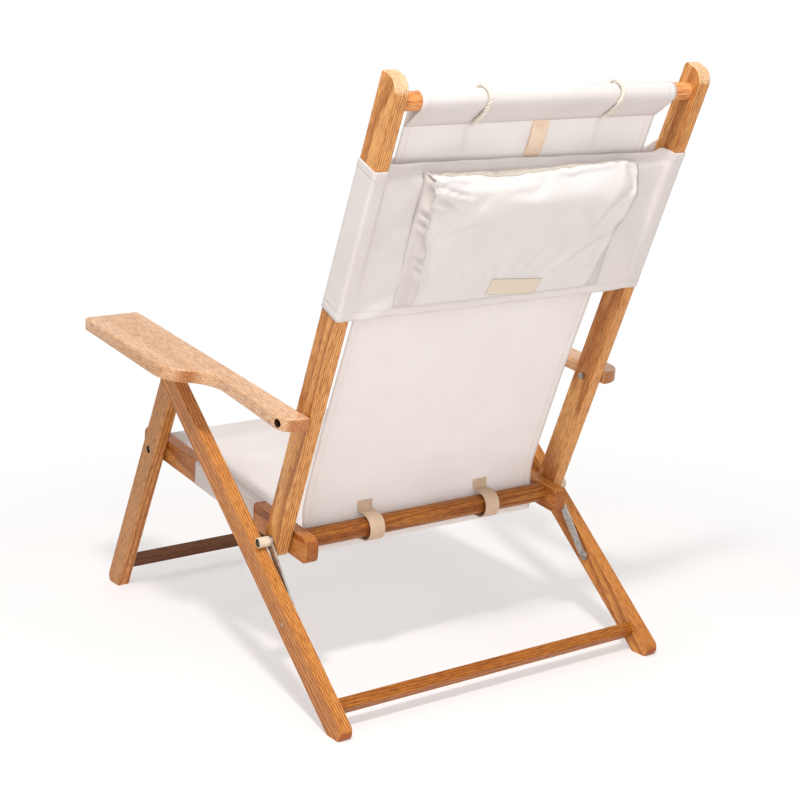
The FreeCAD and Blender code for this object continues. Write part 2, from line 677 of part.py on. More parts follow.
# Canvas, leather and cord
def rounded_path(points, radii):
    """Straight runs through the points, joined by tangent arcs of the given radii."""
    edges = []
    start = points[0]
    for before, corner, after, radius in zip(points, points[1:], points[2:], radii):
        back = unit(before - corner)
        ahead = unit(after - corner)
        half = back.getAngle(ahead) / 2
        reach = radius / math.tan(half)
        middle = corner + unit(back + ahead) * (radius / math.sin(half) - radius)
        edges.append(Part.LineSegment(start, corner + back * reach).toShape())
        edges.append(Part.Arc(corner + back * reach, middle, corner + ahead * reach).toShape())
        start = corner + ahead * reach
    edges.append(Part.LineSegment(start, points[-1]).toShape())
    return Part.Wire(edges)


def soft(label, shape):
    item = doc.addObject("Part::Feature", label)
    item.Shape = shape
    return keep(label, item)


def ribbon(path_points, radii, thickness, start_x, end_x):
    """A strip of cloth or leather: a path in the side view, thick and wide."""
    path = rounded_path(path_points, radii)
    way = unit(path_points[1] - path_points[0])
    side = OUTWARD.cross(way) * (thickness / 2)
    first = path_points[0]
    across = OUTWARD * (end_x - start_x)
    corners = [first - side, first + side, first + side + across, first - side + across]
    section = Part.makePolygon(corners + corners[:1])
    return path.makePipeShell([section], True, False).translated(OUTWARD * start_x)


def tube(path_points, radii, diameter, x):
    """A round cord along a path in the side view."""
    path = rounded_path(path_points, radii)
    circle = Part.Circle(path_points[0], path_points[1] - path_points[0], diameter / 2)
    section = Part.Wire([circle.toShape()])
    return path.makePipeShell([section], True, False).translated(OUTWARD * x)


thick = size("canvas_thickness")
wrap = size("dowel_diameter") / 2 + size("sleeve_clearance") + thick / 2
layer = thick + size("rest_gap")
pocket_round = wrap * 1.08


def on_back(up, rear):
    """A point of the back: up the upright from the back pivot, and behind its centreline."""
    return back_pivot + back_way * up + back_rear * rear


def on_rail(behind, up):
    """A point of the seat: behind the front pivot along the rail, and over its centreline."""
    return front_pivot + rail_way * behind + rail_up * up


crease_y = back_pivot.y + size("crease_behind")


def back_canvas():
    """From the hem seam, round the top dowel, down the front of it and on to the crease."""
    high = top_dowel_up
    bend_up = (crease_y - back_pivot.y + back_rear.y * wrap) / back_way.y
    points = [
        on_back(high - size("hem_down"), layer - wrap),
        on_back(high - wrap / 2, wrap),
        on_back(high + wrap, wrap),
        on_back(high + wrap, -wrap),
        on_back(bend_up, -wrap),
        V(0, crease_y, back_pivot.z + size("back_end_up")),
    ]
    half = size("canvas_half_width")
    soft("back_canvas", ribbon(points, [pocket_round, wrap, wrap, 6 * wrap], thick, -half, half))


def seat_canvas():
    """From the seat's hem, round the front dowel, back along the sag and down into the crease.

    The top of the seat leaves the dowel along the tangent to the sag's first point.
    """
    ahead = -size("front_dowel_ahead")
    run, rise = size("sag_front_at") - ahead, size("sag_front")
    fall = math.tan(math.asin(wrap / math.hypot(run, rise)) - math.atan2(rise, run))
    points = [
        on_rail(ahead + size("seat_hem"), rise + fall * (run - size("seat_hem")) - layer),
        on_rail(ahead + wrap / 2, -wrap),
        on_rail(ahead - wrap, -wrap),
        on_rail(ahead - wrap, rise + fall * (run + wrap)),
        on_rail(size("sag_front_at"), rise),
        on_rail(size("sag_middle_at"), size("sag_middle")),
        on_rail(size("sag_rear_at"), size("sag_rear")),
        V(0, crease_y, back_pivot.z - size("crease_down")),
        V(0, crease_y, back_pivot.z + size("back_end_up") - size("rest_gap")),
    ]
    sag = size("sag_round")
    radii = [pocket_round, wrap, wrap, 2 * sag, sag, sag / 2, size("crease_round")]
    half = size("canvas_half_width")
    soft("seat_canvas", ribbon(points, radii, thick, -half, half))


def sleeve(name, place, length, width, height):
    """A canvas tube of rectangular section round wood: sizes are those of the wood."""
    gap, wall = size("sleeve_clearance"), size("sleeve_wall")
    hollow = block(name + "_hollow", length, width + 2 * gap, height + 2 * gap, FreeCAD.Placement(place))
    hollow.Placement.Base = place.multVec(V(0, -gap, -gap))
    out = gap + wall
    skin = block(name + "_skin", length, width + 2 * out, height + 2 * out, FreeCAD.Placement(place))
    skin.Placement.Base = place.multVec(V(0, -out, -out))
    return cut(name, skin, [hollow])


def rail_sleeves():
    start = on_rail(size("sleeve_start"), -size("bar_width") / 2) + OUTWARD * rail_inner
    turn = FreeCAD.Rotation(rail_way, rail_up, OUTWARD, "XYZ")
    place = FreeCAD.Placement(start, turn)
    left = sleeve("rail_sleeve_left", place, size("sleeve_length"), size("bar_width"), bar)
    mirrored("rail_sleeve_right", keep("rail_sleeve_left", left))


band_top = top_dowel_up - size("band_down")
band_up = band_top - size("band_height")


def band_ring(wall):
    """The band's section at a distance out from the uprights' faces: a loop, drawn in between them."""
    side = upright_outer + wall
    deep = size("bar_width") / 2 + wall
    inside = upright_inner - size("band_slack_run")
    half = [
        (inside, deep - size("band_slack")),
        (upright_inner, deep),
        (side, deep),
        (side, -deep),
        (upright_inner, -deep),
        (inside, size("band_front_slack") - deep),
    ]
    loop = half + [(-x, rear) for x, rear in reversed(half)]
    points = [on_back(band_up, rear) + OUTWARD * x for x, rear in loop]
    return Part.makePolygon(points + points[:1])


def head_band():
    """A sleeve round both uprights, with the sling inside it."""
    gap, wall = size("sleeve_clearance"), size("sleeve_wall")
    height = back_way * size("band_height")
    hollow = Part.Face(band_ring(gap)).extrude(height)
    soft("head_band", Part.Face(band_ring(gap + wall)).extrude(height).cut(hollow))


band_out = size("bar_width") / 2 + size("sleeve_clearance") + size("sleeve_wall")
band_rear = band_out - size("band_slack")
band_front = band_out - size("band_front_slack")
pouch_foot = band_up + size("pouch_up")
pouch_head = pouch_foot + size("pouch_height")


def pouch():
    """A padded pouch on the band's rear panel, deepest near its top, with its zip and its bare tag."""
    half = size("pouch_width") / 2
    deepest = pouch_head - size("pouch_shoulder")
    outline = [
        on_back(pouch_foot, band_rear),
        on_back(pouch_head, band_rear),
        on_back(pouch_head, band_rear + size("pouch_mouth_depth")),
        on_back(deepest, band_rear + size("pouch_bulge_depth")),
        on_back(pouch_foot, band_rear + size("pouch_foot_depth")),
    ]
    face = Part.Face(Part.makePolygon(outline + outline[:1]))
    soft("pouch", face.translated(-OUTWARD * half).extrude(OUTWARD * 2 * half))

    zip_rear = band_rear + (size("pouch_mouth_depth") - size("zip_width")) / 2
    zip_corner = on_back(pouch_head, zip_rear) - OUTWARD * size("zip_length") / 2
    place = FreeCAD.Placement(zip_corner, FreeCAD.Rotation(OUTWARD, back_rear, back_way, "XYZ"))
    zip_sizes = ("sizes.zip_length", "sizes.zip_width", "sizes.zip_thickness")
    keep("pouch_zip", block("pouch_zip", *zip_sizes, place))

    tag_way = unit(outline[3] - outline[4])
    tag_out = tag_way.cross(OUTWARD)
    tag_side = OUTWARD * (size("tag_aside") + size("tag_width") / 2)
    corner = outline[4] + tag_way * size("tag_up") + tag_side
    place = FreeCAD.Placement(corner, FreeCAD.Rotation(-OUTWARD, tag_way, tag_out, "XYZ"))
    tag_sizes = ("sizes.tag_width", "sizes.tag_height", "sizes.tag_thickness")
    keep("label_tag", block("label_tag", *tag_sizes, place))


def centre_strap():
    """A leather strap on the sling's rear, from the hem seam down into the head band."""
    top = top_dowel_up - size("hem_down") - layer
    corner = on_back(top - size("strap_length"), -wrap + thick / 2 + size("rest_gap"))
    corner = corner + OUTWARD * (size("strap_middle") - size("strap_width") / 2)
    place = FreeCAD.Placement(corner, FreeCAD.Rotation(OUTWARD, back_rear, back_way, "XYZ"))
    strap_sizes = ("sizes.strap_width", "sizes.strap_thickness", "sizes.strap_length")
    keep("centre_strap", block("centre_strap", *strap_sizes, place))


def dowel_loops():
    """Leather loops that hold the sling's crease to the rear dowel."""
    leather = size("loop_thickness")
    turn = size("rear_dowel_diameter") / 2 + size("loop_slack") + leather / 2
    front = crease_y + thick / 2 + size("rest_gap") + leather / 2
    points = [
        on_back(size("loop_up"), -wrap + thick / 2 + leather * 1.8),
        V(0, rear_dowel.y + turn, rear_dowel.z + turn),
        V(0, rear_dowel.y + turn, rear_dowel.z - turn),
        V(0, front, rear_dowel.z - turn),
    ]
    for label, middle in (("dowel_loop_left", size("loop_left")), ("dowel_loop_right", size("loop_right"))):
        half = size("loop_width") / 2
        soft(label, ribbon(points, [turn * 1.4, turn * 0.98], leather, middle - half, middle + half))


def head_cords():
    """Cotton cords, taut from the hem seam over the top dowel to the head band's front panel."""
    thin = size("cord_diameter")
    out = thick / 2 + size("rest_gap") + thin / 2
    round_dowel = wrap + out
    high = top_dowel_up
    points = [
        on_back(high - size("hem_down"), layer - wrap + 1.6 * out),
        on_back(high - wrap * 0.6, round_dowel),
        on_back(high + round_dowel, round_dowel),
        on_back(high + round_dowel, -round_dowel),
        on_back(high - size("hem_down"), -round_dowel),
        on_back(band_top + size("rest_gap"), -band_front),
    ]
    radii = [wrap, round_dowel * 0.98, round_dowel * 0.98, 4 * thin]
    for label, x in (("head_cord_left", size("cord_aside")), ("head_cord_right", -size("cord_aside"))):
        soft(label, tube(points, radii, thin, x))


seat_rails()
dowels()
uprights()
dowel_brads()
floor = floor_block()
front_legs(floor)
rear_legs(floor)
crossbar("front_crossbar", upright_inner, front_pivot, front_leg_way)
crossbar("rear_crossbar", leg_inner, top_pivot, rear_leg_way)
arms()
links()
hardware()
back_canvas()
seat_canvas()
rail_sleeves()
head_band()
pouch()
centre_strap()
dowel_loops()
head_cords()
doc.recompute()

# Every object must have rebuilt, and every sub-part must be sound, before any file is written
for item in doc.Objects:
    if "Invalid" in item.State or "Error" in item.State:
        raise RuntimeError(f"{item.Name} did not rebuild: {item.State}")
for label, item in nodes.items():
    if item.Shape.isNull() or not item.Shape.isValid() or not item.Shape.Solids:
        raise RuntimeError(f"{label} is not a sound solid")

os.makedirs("parts", exist_ok=True)
for label, item in nodes.items():
    item.Shape.exportStep(f"parts/{label}.step")
    print(f"{label:22s} {item.Shape.Volume / 1000:9.2f} cm3, {len(item.Shape.Solids)} solids")
print(f"{len(nodes)} sub-parts")
print(f"arm slope {math.degrees(arm_slope):.2f}, spacer radius {spacer_radius:.2f}")
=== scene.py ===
# %% [markdown]
# # A folding beach chair, dressed in Blender
#
# The wooden frame arrives as exact solids from the CAD model. This lesson gives the wood its grain, and
# replaces every plain canvas, leather and cord solid with a surface that is worked out with numpy.
# Everything is in metres, +Z is up, the sitter faces -Y and +X is the sitter's left.

# %% Load the frame
import math

import bmesh
import bpy
import mathutils
import numpy as np
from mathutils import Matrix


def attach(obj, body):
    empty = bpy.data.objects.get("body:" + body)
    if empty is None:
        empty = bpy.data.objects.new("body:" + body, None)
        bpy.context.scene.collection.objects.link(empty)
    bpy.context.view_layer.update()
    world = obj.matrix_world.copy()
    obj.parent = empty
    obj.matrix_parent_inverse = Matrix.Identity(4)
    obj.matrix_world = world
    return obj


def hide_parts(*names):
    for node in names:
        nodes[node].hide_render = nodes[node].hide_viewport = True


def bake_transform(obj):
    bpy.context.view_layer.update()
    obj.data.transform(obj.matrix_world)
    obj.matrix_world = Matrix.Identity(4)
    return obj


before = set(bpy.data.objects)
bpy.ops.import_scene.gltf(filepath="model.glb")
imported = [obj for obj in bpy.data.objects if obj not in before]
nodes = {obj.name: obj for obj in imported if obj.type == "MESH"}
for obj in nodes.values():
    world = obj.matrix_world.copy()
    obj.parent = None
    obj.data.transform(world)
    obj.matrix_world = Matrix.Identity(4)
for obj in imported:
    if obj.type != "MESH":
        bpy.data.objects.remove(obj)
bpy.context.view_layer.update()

# %% [markdown]
# ## The camera
#
# The photograph looks at the chair from behind, from the sitter's left and from a little above. The eye
# point, the heading and the pitch were fitted to the ends of the wooden bars, so the camera is built
# straight from them: three axes make a rotation, and no tracking constraint is needed.

# %% Camera
FRAME_PX = 800
FOCAL_PX = 1692.7
SENSOR_MM = 36
EYE = np.array([1.3852, 2.1182, 0.9500])
HEADING, PITCH, ROLL = np.radians([214.1, -13.0, -0.1])


def stand(item, place, forward, sideways):
    """Put a camera or lamp at a place, looking along forward, with sideways as its right-hand axis."""
    axes = np.eye(4)
    axes[:3] = np.stack([sideways, np.cross(sideways, forward), -forward, place], -1)
    item.matrix_world = mathutils.Matrix(axes.tolist())
    bpy.context.scene.collection.objects.link(item)


gaze = np.array([math.sin(HEADING) * math.cos(PITCH), math.cos(HEADING) * math.cos(PITCH), math.sin(PITCH)])
level = np.cross(gaze, [0, 0, 1])
level /= np.linalg.norm(level)
tilted = level * math.cos(ROLL) + np.cross(level, gaze) * math.sin(ROLL)

lens = bpy.data.cameras.new("lens")
lens.sensor_width = SENSOR_MM
lens.lens = SENSOR_MM * FOCAL_PX / FRAME_PX
camera = bpy.data.objects.new("camera", lens)
stand(camera, EYE, gaze, tilted)
bpy.context.scene.camera = camera
print("lens", round(lens.lens, 1), "mm")

# %% [markdown]
# ## Nodes and colours
#
# Every material below is a small tree of shader nodes. One function adds a node, with its properties and
# whatever feeds its sockets. Another turns the sRGB hex colours that people read into the linear numbers
# that the renderer wants.

# %% Node and colour helpers
# A wave texture of scale 1 has one wave in 0.314 m
WAVE_LONG = 0.314


def linear(code):
    """An sRGB hex colour as linear RGBA: each channel goes through the sRGB curve."""
    channels = np.array([int(code[k:k + 2], 16) for k in (1, 3, 5)]) / 255
    flat = np.where(channels <= 0.04045, channels / 12.92, ((channels + 0.055) / 1.055) ** 2.4)
    return (*map(float, flat), 1.0)


def feed(tree, node, feeds):
    """Fill a node's sockets: a value is set on the socket, an output of another node is linked to it."""
    for key, value in feeds.items():
        if isinstance(value, bpy.types.NodeSocket):
            tree.links.new(value, node.inputs[key])
        else:
            node.inputs[key].default_value = value


def add(tree, kind, feeds=None, stops=(), out=0, **settings):
    """Add a shader node and give back its output named out, or its first.

    Settings are the node's properties, feeds fill its sockets, stops fill a colour ramp.
    """
    made = tree.nodes.new("ShaderNode" + kind)
    for key, value in settings.items():
        setattr(made, key, value)
    feed(tree, made, feeds or {})
    for count, (position, code) in enumerate(stops):
        bar = made.color_ramp.elements
        stop = bar[count] if count < 2 else bar.new(position)
        stop.position, stop.color = position, linear(code)
    return made.outputs[out]


def new_finish(name, **sockets):
    """A material with a Principled shader: sockets are values for the shader's own inputs."""
    finish = bpy.data.materials.new(name)
    finish.use_nodes = True
    shader = finish.node_tree.nodes["Principled BSDF"]
    for key, value in sockets.items():
        shader.inputs[key.replace("_", " ")].default_value = value
    return finish, finish.node_tree, shader


print("helpers ready")

# %% [markdown]
# ## The chair's own axes
#
# The seat rails and the uprights are the two straight lines that the cloth follows, so the soft pieces are
# described along them: so far up the back, so far behind it, so far along the rail. Two functions turn
# such numbers into points, for whole arrays at once.

# %% Axes of the back and of the seat
SIDES = ((1, "left"), (-1, "right"))
ACROSS = np.array([1.0, 0, 0])
FRONT_PIVOT = np.array([0, -0.2656, 0.2680])
BACK_PIVOT = np.array([0, 0.1239, 0.2190])
LEAN = math.radians(25)
BACK_UP = np.array([0, math.sin(LEAN), math.cos(LEAN)])
BACK_REAR = np.array([0, math.cos(LEAN), -math.sin(LEAN)])
RAIL_BACK = (BACK_PIVOT - FRONT_PIVOT) / np.linalg.norm(BACK_PIVOT - FRONT_PIVOT)
RAIL_UP = np.cross(ACROSS, RAIL_BACK)
TOP_DOWEL_UP = 0.6875


def on_back(across, up, rear):
    """Points of the back: across the chair, up the upright from its pivot, behind its centreline."""
    across, up, rear = (a[..., None] for a in np.broadcast_arrays(across, up, rear))
    return BACK_PIVOT + across * ACROSS + up * BACK_UP + rear * BACK_REAR


def on_rail(across, behind, up):
    """Points of the seat: across the chair, along the rail from its front pivot, over its centreline."""
    across, behind, up = (a[..., None] for a in np.broadcast_arrays(across, behind, up))
    return FRONT_PIVOT + across * ACROSS + behind * RAIL_BACK + up * RAIL_UP


print("top dowel at", on_back(0.0, TOP_DOWEL_UP, 0.0).round(4))

# %% [markdown]
# ## Surfaces from grids
#
# Nearly every soft piece is a grid of points: one parameter runs along the cloth, the other across it. One
# function turns such a grid into a mesh. It also stores two flat coordinates as UV maps, in metres: where a
# point lies on the uncut cloth, for the weave, and how far it is from the nearest row of stitches, for the
# thread. Both are worked out with the shape, so the pattern follows every fold.

# %% Grid to mesh


def surface(name, points, finish, loop=False, thick=0.0, breaks=(), **maps):
    """A mesh of four-sided faces over an (m, n, 3) grid. loop joins the last column to the first.

    maps are (m, n, 2) grids, or (m, n + 1, 2) with loop, that become UV maps. thick is the cloth's
    thickness, half on each side of the grid. breaks are rows that the next row isn't joined to.
    """
    rows, columns = points.shape[:2]
    joined = np.delete(np.arange(rows - 1), breaks)
    row, column = np.meshgrid(joined, np.arange(columns - 1 + loop), indexing="ij")
    corner_row = np.stack([row, row, row + 1, row + 1], -1)
    corner_column = np.stack([column, column + 1, column + 1, column], -1)
    faces = (corner_row * columns + corner_column % columns).reshape(-1, 4)
    mesh = bpy.data.meshes.new(name)
    mesh.from_pydata(points.reshape(-1, 3).tolist(), [], faces.tolist())
    for label, field in maps.items():
        layer = mesh.uv_layers.new(name=label)
        layer.uv.foreach_set("vector", field[corner_row, corner_column].astype(np.float32).ravel())
    if len(breaks):
        shell = bmesh.new()
        shell.from_mesh(mesh)
        bmesh.ops.remove_doubles(shell, verts=shell.verts, dist=1e-6)
        bmesh.ops.recalc_face_normals(shell, faces=shell.faces)
        shell.to_mesh(mesh)
        shell.free()
    mesh.shade_smooth()
    mesh.materials.append(finish)
    item = bpy.data.objects.new(name, mesh)
    bpy.context.scene.collection.objects.link(item)
    if thick:
        wall = item.modifiers.new("thickness", "SOLIDIFY")
        wall.thickness, wall.offset = thick, 0.0
    return item


print("grids become meshes")

# %% Steps, paths and ripples


def smooth(low, high, value):
    """0 below low, 1 above high, and an S curve between them."""
    t = np.clip((value - low) / (high - low), 0, 1)
    return t * t * (3 - 2 * t)


def lengths(path):
    """The distance of each point of a path from its start, along the path."""
    steps = np.linalg.norm(np.diff(path, axis=0), axis=1)
    return np.concatenate([[0], np.cumsum(steps)])


def even(path, step):
    """The same path with points at an even step along it."""
    run = lengths(path)
    places = np.linspace(0, run[-1], int(round(run[-1] / step)) + 1)
    return np.stack([np.interp(places, run, path[:, k]) for k in range(path.shape[1])], -1)


def cut_corners(path, times=4):
    """Round a path of straight runs: each pass replaces a corner by points a quarter in from it."""
    for _ in range(times):
        inner = np.stack([0.75 * path[:-1] + 0.25 * path[1:], 0.25 * path[:-1] + 0.75 * path[1:]], 1)
        path = np.concatenate([path[:1], inner.reshape(-1, path.shape[1])[1:-1], path[-1:]])
    return path


def ripple(u, v, seed, waves=9, low=8.0, high=45.0):
    """Soft wrinkles between about -1 and 1: a sum of plane waves of chosen, seeded directions."""
    dice = np.random.default_rng(seed)
    rate = dice.uniform(low, high, waves)[:, None, None]
    turn = dice.uniform(0, math.pi, waves)[:, None, None]
    phase = dice.uniform(0, 2 * math.pi, waves)[:, None, None]
    wave = np.sin(rate * (u * np.cos(turn) + v * np.sin(turn)) + phase)
    return wave.sum(0) / math.sqrt(waves)


print("path tools ready")

# %% [markdown]
# ## Cotton cords over the top dowel
#
# Two short cotton cords run from the hem's seam behind, over the dowel, and down in front to the head band.
# Each is a twisted rope of three strands. The route is a smooth NURBS spline, and its points carry a
# three-strand helix: every strand is a small tube whose centre turns round the route once in 17 mm. At the
# cut end the strands open a little, as cotton does.

# %% Cord route
CORD_AT = 0.108
CORD_ROUTE = np.array([
    [0.6500, -0.00467], [0.67973, 0.0170], [0.7045, 0.0170],
    [0.7045, -0.0170], [0.6500, -0.0170], [0.6048, -0.0174],
])


def spline_line(controls):
    """Points of an order 3 NURBS spline with the given control points, read back from a bare curve."""
    line = bpy.data.curves.new("cord_line", "CURVE")
    line.dimensions, line.resolution_u = "3D", 24
    spline = line.splines.new("NURBS")
    spline.points.add(len(controls) - 1)
    spline.points.foreach_set("co", np.c_[controls, np.ones(len(controls))].ravel())
    spline.order_u = 3
    spline.use_endpoint_u = True
    holder = bpy.data.objects.new("cord_line", line)
    mesh = bpy.data.meshes.new_from_object(holder)
    points = np.empty(3 * len(mesh.vertices))
    mesh.vertices.foreach_get("co", points)
    bpy.data.objects.remove(holder)
    bpy.data.curves.remove(line)
    bpy.data.meshes.remove(mesh)
    return points.reshape(-1, 3)


print("cord length", round(lengths(spline_line(on_back(CORD_AT, *CORD_ROUTE.T)))[-1], 4))

# %% Twisted cotton
# Fibres lean across a strand: drawn 0.9 mm apart, several real ones to each
FIBRE_GAP = 0.0009
FIBRE_LEAN = math.radians(35)


def twisted_cotton(name):
    """Pale cotton with fine fibres that lean across each strand, and darker grooves."""
    finish, tree, shader = new_finish(name, Roughness=0.9, Specular_IOR_Level=0.15, Sheen_Weight=0.1)
    twist = add(tree, "UVMap", uv_map="cloth")
    lean = add(tree, "Mapping", {"Vector": twist, "Rotation": (0, 0, FIBRE_LEAN)})
    waves = {"Vector": lean, "Scale": WAVE_LONG / FIBRE_GAP, "Distortion": 1.5, "Detail": 2.0}
    fibre = add(tree, "TexWave", waves, out="Fac")
    tone = add(tree, "ValToRGB", {"Fac": fibre}, stops=[(0.0, "#CFC4B4"), (0.8, "#EFE8DC")])
    bump = add(tree, "Bump", {"Height": fibre, "Strength": 0.5, "Distance": 0.0003})
    feed(tree, shader, {"Base Color": tone, "Normal": bump})
    return finish


cord_cotton = twisted_cotton("twisted_cotton_cord")
print("cotton ready")

# %% Cords
CORD_STEP, CORD_LAY = 0.0008, 0.017
STRANDS, STRAND_SIDES = 3, 10
STRAND_OFF, STRAND_RADIUS, STRAND_GIRTH = 0.00155, 0.00148, 0.0093
FRAYED, FRAY_OUT, FRAY_THIN = 0.007, 0.0010, 0.0004


def rope(name, side, finish):
    """Three strand tubes round a route: centre = route + a turning offset, then a ring round it.

    The strands open over the last 7 mm at the cut end. Rows run along the cord, columns round a strand.
    """
    route = even(spline_line(on_back(side * CORD_AT, *CORD_ROUTE.T)), CORD_STEP)
    run = lengths(route)
    way = np.gradient(route, axis=0)
    way /= np.linalg.norm(way, axis=1, keepdims=True)
    out = np.cross(np.broadcast_to(ACROSS, way.shape), way)
    opened = 1 - smooth(0, FRAYED, run)
    angle = np.linspace(0, 2 * math.pi, STRAND_SIDES + 1)[:-1]
    around = np.cos(angle)[None, :, None] * out[:, None] + np.sin(angle)[None, :, None] * ACROSS
    thin = (STRAND_RADIUS - FRAY_THIN * opened)[:, None, None]
    along = np.concatenate([run[:1], run, run[-1:]])[:, None]
    girth = np.linspace(0, STRAND_GIRTH, STRAND_SIDES + 1)
    rings, uv = [], []
    for strand in range(STRANDS):
        turn = side * 2 * math.pi * run / CORD_LAY + strand * 2 * math.pi / STRANDS
        aside = np.cos(turn)[:, None] * out + np.sin(turn)[:, None] * ACROSS
        centre = route + (STRAND_OFF + FRAY_OUT * opened)[:, None] * aside
        ends = np.repeat(centre[[0, -1], None], STRAND_SIDES, axis=1)
        rings.append(np.concatenate([ends[:1], centre[:, None] + thin * around, ends[1:]]))
        uv.append(np.stack(np.broadcast_arrays(along, girth), -1))
    count = len(rings[0])
    item = surface(name, np.concatenate(rings), finish, loop=True, breaks=[count - 1, 2 * count - 1],
                   cloth=np.concatenate(uv))
    return item


for side, label in SIDES:
    item = rope(f"head_cord_{label}_rope", side, cord_cotton)
    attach(item, "back_frame")
    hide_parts(f"head_cord_{label}")
print("cords made")

# %% [markdown]
# ## Oiled hardwood
#
# The bars are planed hardwood, oiled and not varnished: a honey colour, faint growth lines a few
# millimetres apart that run along each bar, short dark pores, and a satin sheen that turns pale where light
# grazes it. A board is a slice through a log, so the pattern is a set of rings round a distant line, bent
# by slow noise. Where a face lies nearly along the rings, the noise draws the pointed arches of a flat-sawn
# board. End grain takes the oil in another way than the long faces do, so a sawn end has its own shade.

# %% Growth rings, sawn ends and painted shade in bores
RING_GAP = 0.0036
COUNTERBORE = 0.0062
# How many swells of the noise lie in a metre: across, along and across the grain
BENDS_PER_METRE = (9, 1.4, 9)


def growth_rings(tree, turned, pith, seed, bend):
    """Rings round a line along Y: the distance from it, moved by slow noise, counted in ring widths."""
    swell = add(tree, "Mapping", {"Vector": turned, "Scale": BENDS_PER_METRE, "Location": (seed, seed, 0)})
    warp = add(tree, "TexNoise", {"Vector": swell, "Scale": 1.0, "Detail": 3.0, "Roughness": 0.35})
    centred = {"Vector": turned, "Scale": (1, 0, 1), "Location": (-pith[0], 0, -pith[1])}
    across = add(tree, "Mapping", centred)
    reach = add(tree, "VectorMath", {0: across}, operation="LENGTH", out="Value")
    bent = add(tree, "Math", {0: warp, 1: bend, 2: reach}, operation="MULTIPLY_ADD")
    counted = add(tree, "Math", {0: bent, 1: RING_GAP}, operation="DIVIDE")
    ring = add(tree, "Math", {0: counted}, operation="FRACT")
    rings = [(0.0, "#FFFFFF"), (0.40, "#F6EEE2"), (0.84, "#C09C6C"), (1.0, "#FFFFFF")]
    return add(tree, "ValToRGB", {"Fac": ring}, stops=rings)


def end_grain(tree, normal, tilt, cut):
    """0 on the long faces and 1 on a sawn end: how far the normal lies along the grain, past a limit."""
    facing = add(tree, "Mapping", {"Vector": normal, "Rotation": tilt}, vector_type="VECTOR")
    along = add(tree, "SeparateXYZ", {0: facing}, out="Y")
    square = add(tree, "Math", {0: along}, operation="ABSOLUTE")
    return add(tree, "MapRange", {"Value": square, "From Min": cut, "From Max": cut + 0.2})


def painted_bore_shade(tree, place, colour, centre, inside):
    """Paint shade in a counterbore: dark nearer than its radius to its axis, seen from the side."""
    flat = {"Vector": place, "Scale": (0, 1, 1), "Location": (0, -centre[0], -centre[1])}
    aside = add(tree, "Mapping", flat)
    away = add(tree, "VectorMath", {0: aside}, operation="LENGTH", out="Value")
    within = add(tree, "Math", {0: away, 1: COUNTERBORE}, operation="LESS_THAN")
    shades = {"Factor": within, "A": colour, "B": linear(inside)}
    return add(tree, "Mix", shades, data_type="RGBA", out="Result")


print("rings", RING_GAP * 1000, "mm apart")

# %% Wood material
# Pores are 0.2 mm wide and a few millimetres long: drawn at about 1.2 mm, so that they show
PORES_PER_METRE = (820, 62, 820)
PATCHES_PER_METRE = (40, 2.4, 40)


def oiled_hardwood(name, tilt, shade, sawn, pith, seed, oil=0.05, bend=0.035, ringed=0.9, cut=0.6, bore=None):
    """A shade, another on the sawn ends, times three patterns: growth rings, pores, slow changes of tone.

    tilt brings the grain onto Y, pith is the rings' centre across the grain, oil is how much of it stands
    on the surface, bend is how far the noise moves a ring, ringed is how strongly the rings show, cut is how
    far a face turns towards the grain before it counts as sawn. bore is the centre of a drilled hole in the
    side view: painted shade turns the wood in it dark.
    """
    finish, tree, shader = new_finish(name, Coat_Weight=oil, Coat_Roughness=0.3, Specular_IOR_Level=0.3)
    place = add(tree, "TexCoord", out="Object")
    turned = add(tree, "Mapping", {"Vector": place, "Rotation": tilt})
    growth = growth_rings(tree, turned, pith, seed, bend)
    fine = add(tree, "Mapping", {"Vector": turned, "Scale": PORES_PER_METRE})
    pores = add(tree, "TexNoise", {"Vector": fine, "Scale": 1.0, "Detail": 3.0, "Roughness": 0.6})
    speck = add(tree, "ValToRGB", {"Fac": pores}, stops=[(0.36, "#97683A"), (0.55, "#FFFFFF")])
    broad = {"Vector": turned, "Scale": PATCHES_PER_METRE, "Location": (0, seed, seed)}
    board = add(tree, "Mapping", broad)
    tone = add(tree, "TexNoise", {"Vector": board, "Scale": 1.0, "Detail": 2.0})
    patch = add(tree, "ValToRGB", {"Fac": tone}, stops=[(0.32, "#EBDABF"), (0.62, "#FFFFFF")])
    normal = add(tree, "TexCoord", out="Normal")
    ends = end_grain(tree, normal, tilt, cut)
    shades = {"Factor": ends, "A": linear(shade), "B": linear(sawn)}
    colour = add(tree, "Mix", shades, data_type="RGBA", out="Result")
    shown = add(tree, "MapRange", {"Value": ends, "To Min": ringed, "To Max": 0.35 * ringed})
    for share, pattern in ((shown, growth), (0.7, speck), (0.8, patch)):
        layers = {"Factor": share, "A": colour, "B": pattern}
        colour = add(tree, "Mix", layers, data_type="RGBA", blend_type="MULTIPLY", out="Result")
    # Painted shade: the wood in a counterbore turns dark brown
    if bore is not None:
        colour = painted_bore_shade(tree, place, colour, bore, "#3A2412")
    gloss = add(tree, "MapRange", {"Value": pores, "To Min": 0.52, "To Max": 0.36})
    bump = add(tree, "Bump", {"Height": pores, "Strength": 0.2, "Distance": 0.0004})
    feed(tree, shader, {"Base Color": colour, "Roughness": gloss, "Normal": bump})
    return finish


def dress(node_name, finish):
    """Give a CAD node its finish in its own material slot."""
    mesh = nodes[node_name].data
    mesh.materials.clear()
    mesh.materials.append(finish)


print("wood recipe ready")
